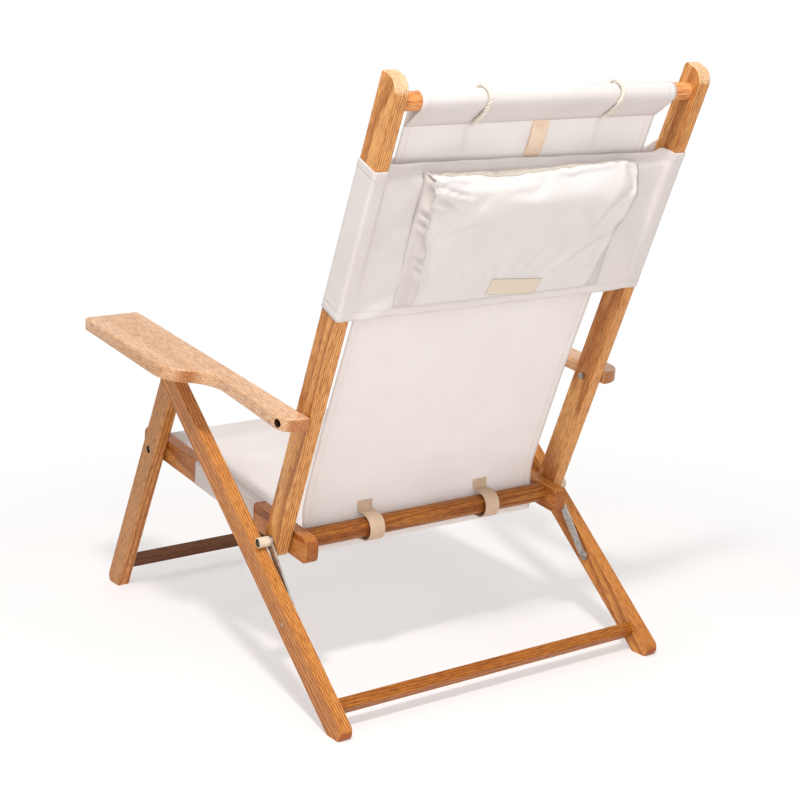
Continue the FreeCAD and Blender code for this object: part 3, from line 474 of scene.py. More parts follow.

# %% [markdown]
# The mapping turns each kind of bar about X until its grain lies on Y. Bars across the chair turn a
# quarter about Z instead. No two boards of one tree are alike: the uprights and the top dowel are the
# palest, the rails and the crossbars the brownest. The top dowel's pale shade is partly painted light, from
# above, and the dark front crossbar and rear seat dowel are partly painted shade, under the chair.

# %% Wood on the bars
TOP_PIVOT = np.array([0, -0.1661, 0.4350])
LINK_PIVOT = np.array([0, 0.1972, 0.1217])
ARM_PIVOT = np.array([0, 0.2146, 0.4135])
ARM_SLOPE = math.radians(-7.43)
QUARTER_TURN = (0, 0, math.pi / 2)


def slope(start, end):
    """The angle of a bar in the side view, from one of its pivots to another."""
    return math.atan2(end[2] - start[2], end[1] - start[1])


boards = {
    "seat_rail": (slope(FRONT_PIVOT, BACK_PIVOT), "#CE8C48", "#A96832", (0.60, 0.30)),
    "upright": (math.pi / 2 - LEAN, "#E8AE6C", "#F0CCA4", (0.42, -0.02)),
    "front_leg": (slope(FRONT_PIVOT, TOP_PIVOT), "#D69C5C", "#AC652B", (0.10, 0.60)),
    "rear_leg": (slope(TOP_PIVOT, LINK_PIVOT), "#D8964C", "#AE6122", (0.50, 0.10)),
    "arm": (ARM_SLOPE, "#E6BC94", "#B87B48", (1.10, -0.50)),
}
special = {
    "upright": {"cut": 0.10},
    "front_leg": {"bore": FRONT_PIVOT[1:]},
    "arm": {"bore": ARM_PIVOT[1:], "oil": 0.35, "bend": 0.020, "ringed": 0.45},
}
for seed, (kind, (tilt, shade, sawn, pith)) in enumerate(boards.items()):
    for label in ("left", "right"):
        finish = oiled_hardwood(f"oiled_hardwood_{kind}_{label}", (-tilt, 0, 0), shade, sawn, pith,
                                3.0 * seed + (label == "left"), **special.get(kind, {}))
        dress(f"{kind}_{label}", finish)
crossing = {
    # Partly painted shade on the front crossbar and rear seat dowel, partly painted light on the top dowel
    "front_crossbar": ("#744310", 0.9),
    "rear_crossbar": ("#B87628", 0.9),
    "front_seat_dowel": ("#C98A52", 0.9),
    "rear_seat_dowel": ("#AE7230", 0.9),
    "top_dowel": ("#E8A468", 0.4),
}
for seed, (node_name, (shade, ringed)) in enumerate(crossing.items()):
    finish = oiled_hardwood(f"oiled_hardwood_{node_name}", QUARTER_TURN, shade, shade, (0.5, 0.1 * seed),
                            20.0 + seed, oil=0.0, ringed=ringed)
    dress(node_name, finish)
print("wood on", 2 * len(boards) + len(crossing), "bars")

# %% [markdown]
# ## Cotton canvas
#
# The sling, the sleeves and the head band are one off-white cotton canvas: a plain weave with a faint satin
# sheen. It is thin enough for light to come through, so it looks darker where a bar lies behind it. Warp
# and weft are two sets of ridges. Where a stitch row runs, the cloth is drawn down into a shallow valley,
# and the thread shows in it as short dashes. The UV maps drive both. The pouch's face is a smoother, shinier
# cloth of the same white, and its gussets are plain canvas in a greyer copy of the white, which is painted
# shade on the pouch's sides.

# %% Canvas material
# Canvas has about 2 threads in a millimetre: drawn 1.3 mm apart, so that they show at this size
WEAVE_GAP = 0.0013
# Real stitches are 3.5 mm apart with thread half a millimetre wide: drawn 9 mm apart and 1 mm wide
STITCH_HALF, DASH_HALF, THREAD_HALF = 0.0045, 0.0033, 0.0005
VALLEY_HALF = 0.003
SEE_THROUGH = 0.38


def cotton_canvas(name, shade, thread, rough=0.7):
    """Two crossed sine ridges for the weave, and dashes along the zero line of the stitch map."""
    finish, tree, shader = new_finish(name, Roughness=rough, Specular_IOR_Level=0.25, Sheen_Weight=0.05)
    cloth = add(tree, "UVMap", uv_map="cloth")
    waves = {"Vector": cloth, "Scale": WAVE_LONG / WEAVE_GAP, "Distortion": 0.6, "Detail": 1.0}
    warp = add(tree, "TexWave", waves, bands_direction="X", out="Fac")
    weft = add(tree, "TexWave", waves, bands_direction="Y", out="Fac")
    crossed = add(tree, "Math", {0: warp, 1: weft}, operation="MAXIMUM")
    cloud = add(tree, "TexNoise", {"Vector": cloth, "Scale": 14.0, "Detail": 4.0})
    base = add(tree, "ValToRGB", {"Fac": cloud}, stops=[(0.35, shade[0]), (0.65, shade[1])])
    ridges = {"Factor": crossed, "A": linear(shade[0]), "B": base}
    ridged = add(tree, "Mix", ridges, data_type="RGBA", out="Result")
    stitch = add(tree, "UVMap", uv_map="stitch")
    parts = add(tree, "SeparateXYZ", {0: stitch}).node.outputs
    away = add(tree, "Math", {0: parts["X"]}, operation="ABSOLUTE")
    dash = add(tree, "Math", {0: parts["Y"], 1: STITCH_HALF}, operation="PINGPONG")
    row = add(tree, "Math", {0: away, 1: THREAD_HALF}, operation="LESS_THAN")
    held = add(tree, "Math", {0: dash, 1: DASH_HALF}, operation="LESS_THAN")
    sewn = add(tree, "Math", {0: row, 1: held}, operation="MULTIPLY")
    threaded = {"Factor": sewn, "A": ridged, "B": linear(thread)}
    stitched = add(tree, "Mix", threaded, data_type="RGBA", out="Result")
    dip = {"Value": away, "From Max": VALLEY_HALF}
    valley = add(tree, "MapRange", dip, interpolation_type="SMOOTHSTEP")
    fine = add(tree, "Bump", {"Height": crossed, "Strength": 0.2, "Distance": 0.0003})
    drawn = add(tree, "Bump", {"Height": valley, "Strength": 0.5, "Distance": 0.0008, "Normal": fine})
    feed(tree, shader, {"Base Color": stitched, "Normal": drawn})
    through = add(tree, "BsdfTranslucent", {"Color": linear(shade[1]), "Normal": drawn})
    lit = add(tree, "MixShader", {"Fac": SEE_THROUGH, 1: shader.outputs[0], 2: through})
    feed(tree, tree.nodes["Material Output"], {"Surface": lit})
    return finish


canvas = cotton_canvas("cotton_canvas_natural", ("#F0EBE8", "#F6F2F0"), "#E2DBD5")
satin = cotton_canvas("cotton_satin_pouch", ("#F4F0ED", "#F9F6F4"), "#E6E0DA", rough=0.48)
# Painted shade: the gussets' greyer copy of the canvas stands for the shade on the pouch's sides
gusset = cotton_canvas("cotton_canvas_gusset_painted_shade", ("#E7E2DD", "#EDE8E4"), "#E2DBD5")
print("canvas, satin and gusset cloth ready")

# %% [markdown]
# ## The sling
#
# One length of canvas makes the seat and the back: it wraps the front dowel, sags along the seat, turns up
# in a crease in front of the rear dowel, climbs the back, wraps the top dowel and is sewn to itself. Its
# side view is one path, and the sheet is that path carried across the chair. Small changes of that path
# across the width make the edge climb to the rail sleeves and the panel pull in at the leather loops.

# %% Sling path
CLOTH = 0.0012
WRAP = 0.01295
SLING_HALF, SLING_STEP = 0.206, 0.0035
CREASE_Y = BACK_PIVOT[1] + 0.0047


def tangent_angle(centre, point, side):
    """The angle, seen from a dowel's centre, where a straight run from a point touches the wrap."""
    away = point - centre
    return math.atan2(away[1], away[0]) + side * math.acos(WRAP / math.hypot(*away))


def arc(centre, start, end):
    """Points round a dowel from one angle to another, about 2 mm apart."""
    angles = np.linspace(start, end, 24)
    return centre + WRAP * np.stack([np.cos(angles), np.sin(angles)], -1)


front_dowel = np.array([-0.020, 0.0])
seat_hem = np.array([0.026, 0.0077])
sag = np.array([[0.119, 0.005], [0.269, 0.002], [0.338, -0.007]])
low = tangent_angle(front_dowel, seat_hem, -1)
high = tangent_angle(front_dowel, sag[0], 1)
seat_path = np.concatenate([[seat_hem], arc(front_dowel, low, high - 2 * math.pi)])
seat_points = on_rail(0.0, *seat_path.T)
turn_up = np.array([
    [0, CREASE_Y - 0.016, 0.1945], [0, CREASE_Y - 0.002, 0.1860], [0, CREASE_Y, 0.2060],
    [0, CREASE_Y, 0.2350], [0, CREASE_Y + 0.0010, 0.2570],
])

top_dowel = np.array([0.0, TOP_DOWEL_UP])
top_hem = np.array([-0.01150, 0.6470])
leave = tangent_angle(top_dowel, top_hem, 1)
back_path = np.concatenate([arc(top_dowel, math.pi, leave), [top_hem]])
back_points = on_back(0.0, back_path[:, 1], back_path[:, 0])
panel = on_back(0.0, np.array([0.080, 0.160]), np.array([-WRAP, -WRAP]))

middle = np.concatenate([seat_points[-1:], on_rail(0.0, *sag.T), turn_up, panel, back_points[:1]])
sling_path = np.concatenate([seat_points[:-1], cut_corners(middle, 5), back_points[1:]])
sling_path = even(sling_path, SLING_STEP)
print("sling path", len(sling_path), "points,", round(lengths(sling_path)[-1], 3), "m long")

# %% Sling shape
FRONT_WRAP, TOP_WRAP = 0.09, 0.10
SLEEVE_FROM, SLEEVE_TO = 0.121, 0.303
LOOPS = {"left": 0.102, "right": -0.1055}

run = lengths(sling_path)
s, x = np.meshgrid(run, np.linspace(-SLING_HALF, SLING_HALF, 91), indexing="ij")
behind = ((sling_path - FRONT_PIVOT) @ RAIL_BACK)[:, None]
up_back = ((sling_path - BACK_PIVOT) @ BACK_UP)[:, None]
crease_at = run[np.argmin(sling_path[:, 2])]
on_seat = (s < crease_at) & (s > FRONT_WRAP)
on_panel = (s > crease_at) & (s < run[-1] - TOP_WRAP)
bowed = 1 - (x / SLING_HALF) ** 2

at_sleeve = smooth(0.085, SLEEVE_FROM, behind) * smooth(0.340, SLEEVE_TO, behind) * on_seat
edge = smooth(0.120, SLING_HALF, np.abs(x)) * at_sleeve
lift = 0.0135 * edge
spread = np.sign(x) * 0.0045 * edge
belly = -0.004 * bowed * at_sleeve

pull = sum(np.exp(-(((x - at) / 0.045) ** 2)) for at in LOOPS.values())
drawn = 0.0008 * pull * np.exp(-(((up_back - 0.045) / 0.05) ** 2)) * on_panel
slack = 0.0022 * bowed * smooth(0.06, 0.14, up_back) * smooth(0.60, 0.45, up_back) * on_panel
soft = 0.0007 * ripple(s, x, 3) + 0.0011 * ripple(s * 0.4, x, 5, low=20, high=70)
soft = soft * (on_panel | on_seat)
taper = smooth(0.0, 0.02, s - FRONT_WRAP) * smooth(0.0, 0.03, run[-1] - TOP_WRAP - s)

outward = np.where(on_panel[..., None], BACK_REAR, RAIL_UP)
points = sling_path[:, None] + (x + spread)[..., None] * ACROSS
points = points + (lift + belly)[..., None] * RAIL_UP
points = points + ((drawn + slack + soft) * taper)[..., None] * outward
print("sling", points.shape)

# %% Sling sheet
SIDE_HEM, SEAT_HEM, TOP_HEM = 0.011, 0.001, 0.0035

side_row = np.abs(x) - (SLING_HALF - SIDE_HEM)
end_row = np.maximum(s - (run[-1] - TOP_HEM), run[0] + SEAT_HEM - s)
stitch = np.stack([np.maximum(side_row, end_row), np.where(side_row > end_row, s, x)], -1)
sling = surface("sling", points, canvas, thick=CLOTH, cloth=np.stack([x, s], -1), stitch=stitch)
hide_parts("seat_canvas", "back_canvas")
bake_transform(sling)
print("sling sewn")

# %% [markdown]
# ## Canvas sleeves on the rails
#
# Between the front leg and the upright each seat rail wears a sewn canvas sleeve, which carries the sling's
# edge. Its section is the rail's rectangle with soft corners, carried along the rail. The ends have a
# narrow hem, and a double row of stitches runs along the top inner edge, where sling and sleeve meet.

# %% Sleeves
BAR_WIDE, BAR_THICK = 0.038, 0.020
CLEAR = 0.0008
RAIL_MIDDLE = 0.223
SLEEVE_HEM, DOUBLE_ROW = 0.008, 0.002


def soft_rectangle(half_wide, half_high, corner, step):
    """A closed rectangle with round corners: a quarter circle is added to each corner's centre."""
    angle = np.linspace(0, 2 * math.pi, 65)[:-1] + math.pi / 64
    ring = corner * np.stack([np.cos(angle), np.sin(angle)], -1)
    ring += np.sign(ring) * [half_wide - corner, half_high - corner]
    return even(np.concatenate([ring, ring[:1]]), step)[:-1]


section = soft_rectangle(BAR_THICK / 2 + CLEAR, BAR_WIDE / 2 + CLEAR, 0.0035, 0.0025)
around = np.arange(len(section) + 1) * np.linalg.norm(section[1] - section[0])
along = np.linspace(SLEEVE_FROM, SLEEVE_TO, 48)
for side, label in SIDES:
    a, p = np.meshgrid(along, around[:-1], indexing="ij")
    flare = smooth(0.010, 0.0, a - SLEEVE_FROM) + smooth(0.010, 0.0, SLEEVE_TO - a)
    full = 1 + 0.012 * ripple(a, p, 7 + side, low=40, high=120) + 0.02 * flare
    points = on_rail(side * RAIL_MIDDLE + section[:, 0] * full, a, section[:, 1] * (1 + (full - 1) * 0.5))
    a, p = np.meshgrid(along, around, indexing="ij")
    corner = around[np.argmin(np.abs(section - [-side * 0.0108, 0.0160]).sum(1))]
    hem = np.minimum(a - SLEEVE_FROM, SLEEVE_TO - a) - SLEEVE_HEM
    double = np.abs(p - corner) - DOUBLE_ROW
    stitch = np.stack([np.minimum(hem, double), np.where(hem < double, p, a)], -1)
    item = surface(f"rail_sleeve_{label}_canvas", points, canvas, loop=True, thick=CLOTH,
                   cloth=np.stack([p, a], -1), stitch=stitch)
    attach(item, "seat_frame")
    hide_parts(f"rail_sleeve_{label}")
print("sleeves", section.shape)

# %% [markdown]
# ## The head band
#
# A wide canvas band goes round both uprights below the top dowel. Seen from above it is one loop, and the
# band is that loop carried up the back. Between the uprights the rear panel is not stretched tight: its
# upper hem turns in round the uprights' corners and leans against the sling, while its lower hem hangs free.
# So there are two loops, for the two hems, and the band goes from one to the other.

# %% Band loop
BAND_LOW, BAND_HIGH, BAND_HEM = 0.3845, 0.6030, 0.012
DEEP = BAR_WIDE / 2 + CLEAR
LOOP_POINTS = 400


def drawn_in(up):
    """How far the rear panel lies in front of the uprights' rear faces: 1 mm below, 22 mm at the top."""
    return 0.001 + 0.007 * smooth(BAND_LOW, 0.585, up) + 0.014 * smooth(0.580, BAND_HIGH, up)


def band_loop(drawn):
    """The band seen from above: a closed path of across and rear, drawn in between the uprights."""
    rear, front = DEEP - drawn, 0.003 - DEEP
    half = np.array([
        [0.0, front], [0.150, front], [0.197, front], [0.222, -DEEP + 0.0006], [0.237, -DEEP],
        [0.2508, -DEEP], [0.2556, -DEEP], [0.2558, -0.016], [0.2558, 0.0], [0.2558, 0.016],
        [0.2556, DEEP], [0.2508, DEEP], [0.237, DEEP], [0.2343, DEEP - 0.04 * drawn],
        [0.2336, DEEP - 0.5 * drawn], [0.2300, rear + 0.06 * drawn], [0.2180, rear],
        [0.190, rear], [0.150, rear], [0.0, rear],
    ])
    return cut_corners(np.concatenate([half, half[::-1][1:] * [-1, 1]]), 4)


paths = [band_loop(drawn_in(up)) for up in (BAND_LOW, BAND_HIGH)]
steps = np.arange(len(paths[0]))
loop_run = np.linspace(0, lengths(paths[0])[-1], LOOP_POINTS + 1)
# Both loops take the same steps, so that a corner of one lies above the same corner of the other
spots = np.interp(loop_run[:-1], lengths(paths[0]), steps)
low_loop, high_loop = (np.stack([np.interp(spots, steps, path[:, k]) for k in (0, 1)], -1) for path in paths)
print("band loop", round(loop_run[-1], 3), "m")

# %% Band
rows = np.concatenate([np.linspace(BAND_LOW, 0.582, 50), np.linspace(0.582, BAND_HIGH, 12)[1:]])
u = rows[:, None]
mix = (drawn_in(u) - drawn_in(BAND_LOW)) / (drawn_in(BAND_HIGH) - drawn_in(BAND_LOW))
bx, br = ((1 - mix) * low_loop[:, k] + mix * high_loop[:, k] for k in (0, 1))
free = smooth(0.235, 0.214, np.abs(bx))
edge = np.minimum(u - BAND_LOW, BAND_HIGH - u)
folds = 0.0009 * ripple(u * 1.6 + np.abs(bx) * 0.8, bx, 21, low=25, high=90) * free
rays = np.sin(u * 150 + np.abs(bx) * 60) * smooth(0.10, 0.0, edge)
fans = 0.0012 * smooth(0.12, 0.21, np.abs(bx)) * free * rays
hem_out = 0.0005 * smooth(0.0135, 0.0125, edge) * np.sign(br)
dip = (0.0055 - 0.014 * bx) * smooth(BAND_HIGH - 0.03, BAND_HIGH, u)
climb = -(dip + 0.002 * smooth(BAND_LOW + 0.06, BAND_LOW, u)) * free
points = on_back(bx, u + climb, br + folds + fans + hem_out)

u, p = np.meshgrid(rows, loop_run, indexing="ij")
stitch = np.stack([np.minimum(u - BAND_LOW, BAND_HIGH - u) - BAND_HEM, p], -1)
band = surface("head_band_canvas", points, canvas, loop=True, thick=CLOTH, cloth=np.stack([p, u], -1),
               stitch=stitch)
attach(band, "back_frame")
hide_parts("head_band")
print("band", points.shape)

# %% [markdown]
# ## The pouch
#
# A soft pouch is sewn on the band's rear panel, with its mouth along the top. It is fullest just under the
# mouth and thins out to nothing at the foot. Its sides are gussets: at the top they stand up straight, and
# towards the foot they fold flat inwards. The shape starts as a profile up the back, scaled to nothing
# across each gusset, with a few creases pressed in where the filling pulls on the corners. Then a cloth
# simulation with light air pressure lets the sewn cloth settle into its own puckers.

# %% Pouch grid
POUCH_HALF, POUCH_STEP = 0.174, 0.0036
POUCH_LOW, POUCH_HIGH = 0.3965, 0.5880

outline = np.array([
    [POUCH_LOW, 0.0], [POUCH_LOW + 0.002, 0.0045], [0.425, 0.0078], [0.480, 0.0140], [0.530, 0.0210],
    [0.560, 0.0262], [0.576, 0.0280], [0.5905, 0.0262], [0.5955, 0.0240], [0.5965, 0.0210],
    [0.5945, 0.0080], [POUCH_HIGH, 0.0],
])
profile = even(cut_corners(outline, 4), POUCH_STEP)
height, thick = profile[:, :1], profile[:, 1:]
climbed = lengths(profile)[:, None]
part = climbed / climbed[-1]

# Columns from 0 to 1 and from 2 to 3 are the gussets, and those between are the face
columns = np.concatenate([np.linspace(0, 1, 9), np.linspace(1, 2, 92)[1:-1], np.linspace(2, 3, 9)])
left, face, right = np.clip(columns, 0, 1), np.clip(columns, 1, 2) - 1, np.clip(3 - columns, 0, 1)
side = np.minimum(left, right)
inset = 0.028 - 0.0265 * smooth(0.0, 0.85, part)
px = POUCH_HALF - inset * left - (2 * POUCH_HALF - 2 * inset) * face - inset * (1 - right)
puckers = 1 + 0.6 * np.sin(climbed * 260 + 2 * np.sin(climbed * 90))
tucked = 0.0035 * np.sin(math.pi * side) * puckers * smooth(0.0, 0.05, climbed)
px = px - np.sign(px) * tucked
mouth = smooth(0.545, 0.592, height)
sunk = 0.0065 * np.exp(-(((px - 0.045) / 0.085) ** 2)) + 0.006 * smooth(-0.145, -0.174, px)
pup = height - sunk * mouth * smooth(0.0, 0.015, thick)
print("pouch grid", px.shape)

# %% Pouch depth
# Depth, start, end and width of each crease: a point is across and up, and a negative depth is a valley
CREASES = (
    (-0.0065, (0.176, 0.589), (0.114, 0.573), 0.0032),
    (0.0045, (0.170, 0.582), (0.100, 0.564), 0.0042),
    (-0.0055, (0.174, 0.575), (0.122, 0.554), 0.0034),
    (0.0028, (0.172, 0.564), (0.130, 0.550), 0.0040),
    (-0.0040, (0.172, 0.558), (0.132, 0.538), 0.0040),
    (-0.0035, (0.156, 0.593), (0.108, 0.584), 0.0030),
    (-0.0048, (-0.172, 0.576), (-0.104, 0.488), 0.009),
    (0.0022, (-0.154, 0.586), (-0.100, 0.526), 0.010),
    (-0.0016, (0.070, 0.523), (-0.070, 0.541), 0.016),
    (-0.0020, (0.150, 0.518), (0.132, 0.428), 0.007),
)


def crease(start, end, width):
    """A soft line on the pouch between two points: 1 along its middle, fading out all round."""
    way = np.subtract(end, start)
    t = np.clip(((px - start[0]) * way[0] + (pup - start[1]) * way[1]) / (way @ way), 0, 1)
    away = np.hypot(px - start[0] - t * way[0], pup - start[1] - t * way[1])
    return np.exp(-((away / width) ** 2)) * np.sin(math.pi * t)


pressed = sum(deep * crease(start, end, width) for deep, start, end, width in CREASES)
standing = smooth(0.35, 0.8, part)
rise = standing * side ** 0.9 + (1 - standing) * (0.25 * side + 0.75 * smooth(0.75, 1.0, side))
crown = 1 + 0.08 * (1 - (px / POUCH_HALF) ** 2)
crown = crown * (1 - mouth * (1 - np.clip(0.70 + 1.8 * px, 0.3, 1.0)))
lumps = 1 + 0.5 * ripple(climbed, px, 31, low=60, high=160)
from_edge = np.abs(px) - POUCH_HALF + inset
piping = 0.0022 * lumps * np.exp(-((from_edge / 0.0030) ** 2)) * smooth(0.0, 0.02, climbed)
depth = thick * rise * crown + (pressed * rise + piping) * smooth(0.0, 0.012, thick)
seam = 0.0016 * smooth(0.0, 0.12, side) * smooth(0.0, 0.004, climbed)
on_band = DEEP - drawn_in(np.minimum(pup, POUCH_HIGH)) + 0.0009
pouch_points = on_back(px, pup, on_band + depth + seam)
print("pouch is at most", round(float(depth.max()) * 1000, 1), "mm deep")

# %% Pouch settles
SETTLE_FRAMES = 24
FLAT_FOOT = 0.432


def settle(points, sewn, frames):
    """A cloth simulation on a grid: sewn points are held, light pressure acts from inside, no gravity."""
    item = surface("settling_cloth", points, canvas)
    item.vertex_groups.new(name="sewn").add(np.flatnonzero(sewn.ravel()).tolist(), 1.0, "REPLACE")
    cloth = item.modifiers.new("cloth", "CLOTH")
    cloth.point_cache.frame_end = frames
    cloth.settings.vertex_group_mass = "sewn"
    cloth.settings.quality = 5
    cloth.settings.mass = 0.1
    cloth.settings.tension_stiffness = cloth.settings.compression_stiffness = 20
    cloth.settings.bending_stiffness = 2.0
    cloth.settings.air_damping = 5
    cloth.settings.shrink_min = -0.012
    cloth.settings.use_pressure = True
    cloth.settings.uniform_pressure_force = 0.6
    cloth.settings.effector_weights.gravity = 0
    cloth.collision_settings.use_collision = False
    for count in range(1, frames + 1):
        bpy.context.scene.frame_set(count)
    baked = item.evaluated_get(bpy.context.evaluated_depsgraph_get()).data
    moved = np.empty(points.size)
    baked.vertices.foreach_get("co", moved)
    bpy.context.scene.frame_set(1)
    bpy.data.objects.remove(item)
    return moved.reshape(points.shape)


sewn = np.zeros(depth.shape, bool)
sewn[[0, -1]] = True
sewn[:, side < 0.95] = True
sewn[pup < FLAT_FOOT] = True
settled = settle(pouch_points, sewn, SETTLE_FRAMES)
shift = np.linalg.norm(settled - pouch_points, axis=-1)
print("settled by", round(float(shift.mean()) * 1000, 2), "mm, at most", round(float(shift.max()) * 1000, 2))

# %% Pouch shell
FOOT_HEM = 0.005

cloth_map = np.stack(np.broadcast_arrays(px, climbed), -1)
stitch = np.stack(np.broadcast_arrays(climbed - FOOT_HEM, px), -1)
pouch = surface("pouch_satin", settled, satin, thick=0.001, cloth=cloth_map, stitch=stitch)
# The gussets are plain canvas, less glossy than the face, in a greyer copy that is painted shade
gusset_shade_faces = (columns[:-1] < 1) | (columns[1:] > 2)
pouch.data.materials.append(gusset)
pouch.data.polygons.foreach_set("material_index", np.tile(gusset_shade_faces, len(profile) - 1).astype(np.int32))
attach(pouch, "back_frame")
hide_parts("pouch")
print("pouch made")

# %% [markdown]
# ## Zip and tag
#
# The zip lies along the pouch's mouth: a narrow woven tape with a coil of teeth down its middle. The tag is
# a plain woven label, sewn on a little askew. Both follow the pouch, so their grids are read off the
# pouch's own grid and pushed out by their thickness.

# %% Woven tape
# Ribs of a zip tape are 0.6 mm apart: drawn at 1.2 mm
RIB_GAP = 0.0012


def woven_tape(name, shade):
    """Tightly woven tape: fine crosswise ribs and a slight gloss."""
    finish, tree, shader = new_finish(name, Roughness=0.6, Specular_IOR_Level=0.3)
    cloth = add(tree, "UVMap", uv_map="cloth")
    waves = {"Vector": cloth, "Scale": WAVE_LONG / RIB_GAP, "Distortion": 0.5}
    ribs = add(tree, "TexWave", waves, out="Fac")
    tone = add(tree, "ValToRGB", {"Fac": ribs}, stops=[(0.0, shade[0]), (0.7, shade[1])])
    bump = add(tree, "Bump", {"Height": ribs, "Strength": 0.3, "Distance": 0.0003})
    feed(tree, shader, {"Base Color": tone, "Normal": bump})
    return finish


def on_pouch(across, climb):
    """Points of the settled pouch, so far across and up it, mixed from the four nearest of its grid."""
    row = climb / climbed[1]
    r = np.floor(row).astype(int)
    column = np.interp(-across, -px[int(r.mean())], np.arange(px.shape[1]))
    c = np.floor(column).astype(int)
    fr, fc = (row - r)[..., None], (column - c)[..., None]
    lower = settled[r, c] * (1 - fc) + settled[r, c + 1] * fc
    upper = settled[r + 1, c] * (1 - fc) + settled[r + 1, c + 1] * fc
    return lower * (1 - fr) + upper * fr


print("pouch foot", on_pouch(np.zeros(1), np.full(1, 0.01)).round(4).tolist())

# %% Zip
ZIP_LONG, ZIP_WIDE = 0.330, 0.014
ZIP_BELOW = 0.0100
COIL_HALF, TOOTH = 0.0013, 0.0022

# Partly painted shade: a grey tape, darkened further for the shade along the pouch's mouth
zip_tape = woven_tape("woven_polyester_tape_painted_shade", ("#B8AEA3", "#C8BFB4"))
zip_along = np.linspace(-ZIP_LONG / 2, ZIP_LONG / 2, 420)
zx, zr = np.meshgrid(zip_along, np.linspace(-ZIP_WIDE / 2, ZIP_WIDE / 2, 29), indexing="ij")
coil = np.exp(-((zr / COIL_HALF) ** 2))
tooth = 0.5 + 0.5 * np.sin(2 * math.pi * zx / TOOTH + np.where(zr > 0, math.pi, 0.0))
lifted = 0.0010 + 0.0009 * coil * (0.55 + 0.45 * tooth)
points = on_pouch(zx, climbed[-1] - ZIP_BELOW + zr) + lifted[..., None] * BACK_UP
zipper = surface("pouch_zip_tape", points, zip_tape, thick=0.0006, cloth=np.stack([zx, zr], -1))
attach(zipper, "back_frame")
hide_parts("pouch_zip")
print("zip", points.shape)

# %% Tag
TAG_WIDE, TAG_HIGH = 0.086, 0.026
TAG_ACROSS, TAG_UP, ASKEW = -0.014, 0.0215, math.radians(5.5)

label_cloth = woven_tape("woven_cotton_label", ("#CDBDA9", "#DCCFBF"))
tag_along = np.linspace(-0.5, 0.5, 45) * TAG_WIDE
tx, tu = np.meshgrid(tag_along, np.linspace(-0.5, 0.5, 15) * TAG_HIGH, indexing="ij")
across = TAG_ACROSS + tx * math.cos(ASKEW) - tu * math.sin(ASKEW)
climb = TAG_UP + tx * math.sin(ASKEW) + tu * math.cos(ASKEW)
points = on_pouch(across, climb) + 0.0011 * BACK_REAR
tag = surface("label_tag_cloth", points, label_cloth, thick=0.0009, cloth=np.stack([tx, tu], -1))
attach(tag, "back_frame")
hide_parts("label_tag")
print("tag", points.shape)

# %% [markdown]
# ## Leather strap and loops
#
# The strap in the middle of the back and the two loops on the rear dowel are vegetable-tanned leather, left
# natural: pale, matt, with fine pebbled grain and eased edges. The loops take a browner copy of the same
# leather, which is painted shade. A strap is a path in the side view carried across its width, with
# thickness added.

# %% Leather
# Pebbles of calf leather are 0.4 mm wide: drawn at 1 mm
PEBBLES_PER_METRE = 1000.0


def natural_leather(name, shade):
    """Fine pebbles for the grain, slow patches for the hide's own colour."""
    finish, tree, shader = new_finish(name, Roughness=0.55, Specular_IOR_Level=0.4)
    place = add(tree, "TexCoord", out="Object")
    pebble = add(tree, "TexVoronoi", {"Vector": place, "Scale": PEBBLES_PER_METRE}, feature="SMOOTH_F1")
    patch = add(tree, "TexNoise", {"Vector": place, "Scale": 60.0, "Detail": 4.0})
    tone = add(tree, "ValToRGB", {"Fac": patch}, stops=[(0.3, shade[0]), (0.7, shade[1])])
    bump = add(tree, "Bump", {"Height": pebble, "Strength": 0.25, "Distance": 0.0004})
    feed(tree, shader, {"Base Color": tone, "Normal": bump})
    return finish


def strap(name, path, middle, width, thick, body, node, leather):
    """A leather strip: a path in the side view, carried across its width and thickened both ways."""
    path = even(path, 0.002)
    wide = np.linspace(-width / 2, width / 2, 9)
    points = path[:, None] + (middle + wide)[None, :, None] * ACROSS
    run = lengths(path)
    uv = np.stack(np.meshgrid(run, wide, indexing="ij"), -1)
    item = surface(name, points, leather, thick=thick, cloth=uv)
    eased = item.modifiers.new("eased_edges", "BEVEL")
    eased.width, eased.segments, eased.limit_method = 0.0006, 2, "ANGLE"
    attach(item, body)
    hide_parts(node)
    return item


pale_leather = natural_leather("natural_leather_pale", ("#E2C5AC", "#ECD5C0"))
# Painted shade: the loops are the same leather as the strap, in a browner copy
shaded_leather = natural_leather("natural_leather_painted_shade", ("#BEA288", "#CBB199"))
print("leather ready")

# %% Strap and loops
STRAP_TOP, STRAP_FOOT = 0.6478, 0.548
STRAP_AT, STRAP_WIDE, STRAP_THICK = -0.008, 0.026, 0.0024
LOOP_WIDE, LOOP_THICK, LOOP_RADIUS = 0.025, 0.002, 0.0193
REAR_DOWEL = BACK_PIVOT + 0.0205 * RAIL_BACK + 0.003 * RAIL_UP

ups = np.linspace(STRAP_TOP, STRAP_FOOT, 24)
hung = -0.01060 + 0.0030 * np.sin(np.clip((STRAP_TOP - ups) / 0.055, 0, 1) * math.pi)
strap("centre_strap_leather", on_back(0.0, ups, hung), STRAP_AT, STRAP_WIDE, STRAP_THICK,
      "back_frame", "centre_strap", pale_leather)

front = CREASE_Y + 0.0021
angles = np.radians(np.linspace(62, -100, 26))
wrapped = REAR_DOWEL[1:] + [0.0015, 0.0] + LOOP_RADIUS * np.stack([np.cos(angles), np.sin(angles)], -1)
head = np.array([
    [front + 0.0010, 0.2560], [front + 0.0004, 0.2470], [front + 0.0020, 0.2395], [front + 0.0140, 0.2400],
    wrapped[0],
])
foot = [[front + 0.001, REAR_DOWEL[2] - LOOP_RADIUS]]
loop_path = np.concatenate([cut_corners(head, 4)[:-1], wrapped, foot])
loop_path = np.c_[np.zeros(len(loop_path)), loop_path]
for label, middle in LOOPS.items():
    strap(f"dowel_loop_{label}_leather", loop_path, middle, LOOP_WIDE, LOOP_THICK,
          "seat_frame", f"dowel_loop_{label}", shaded_leather)
print("leather made")
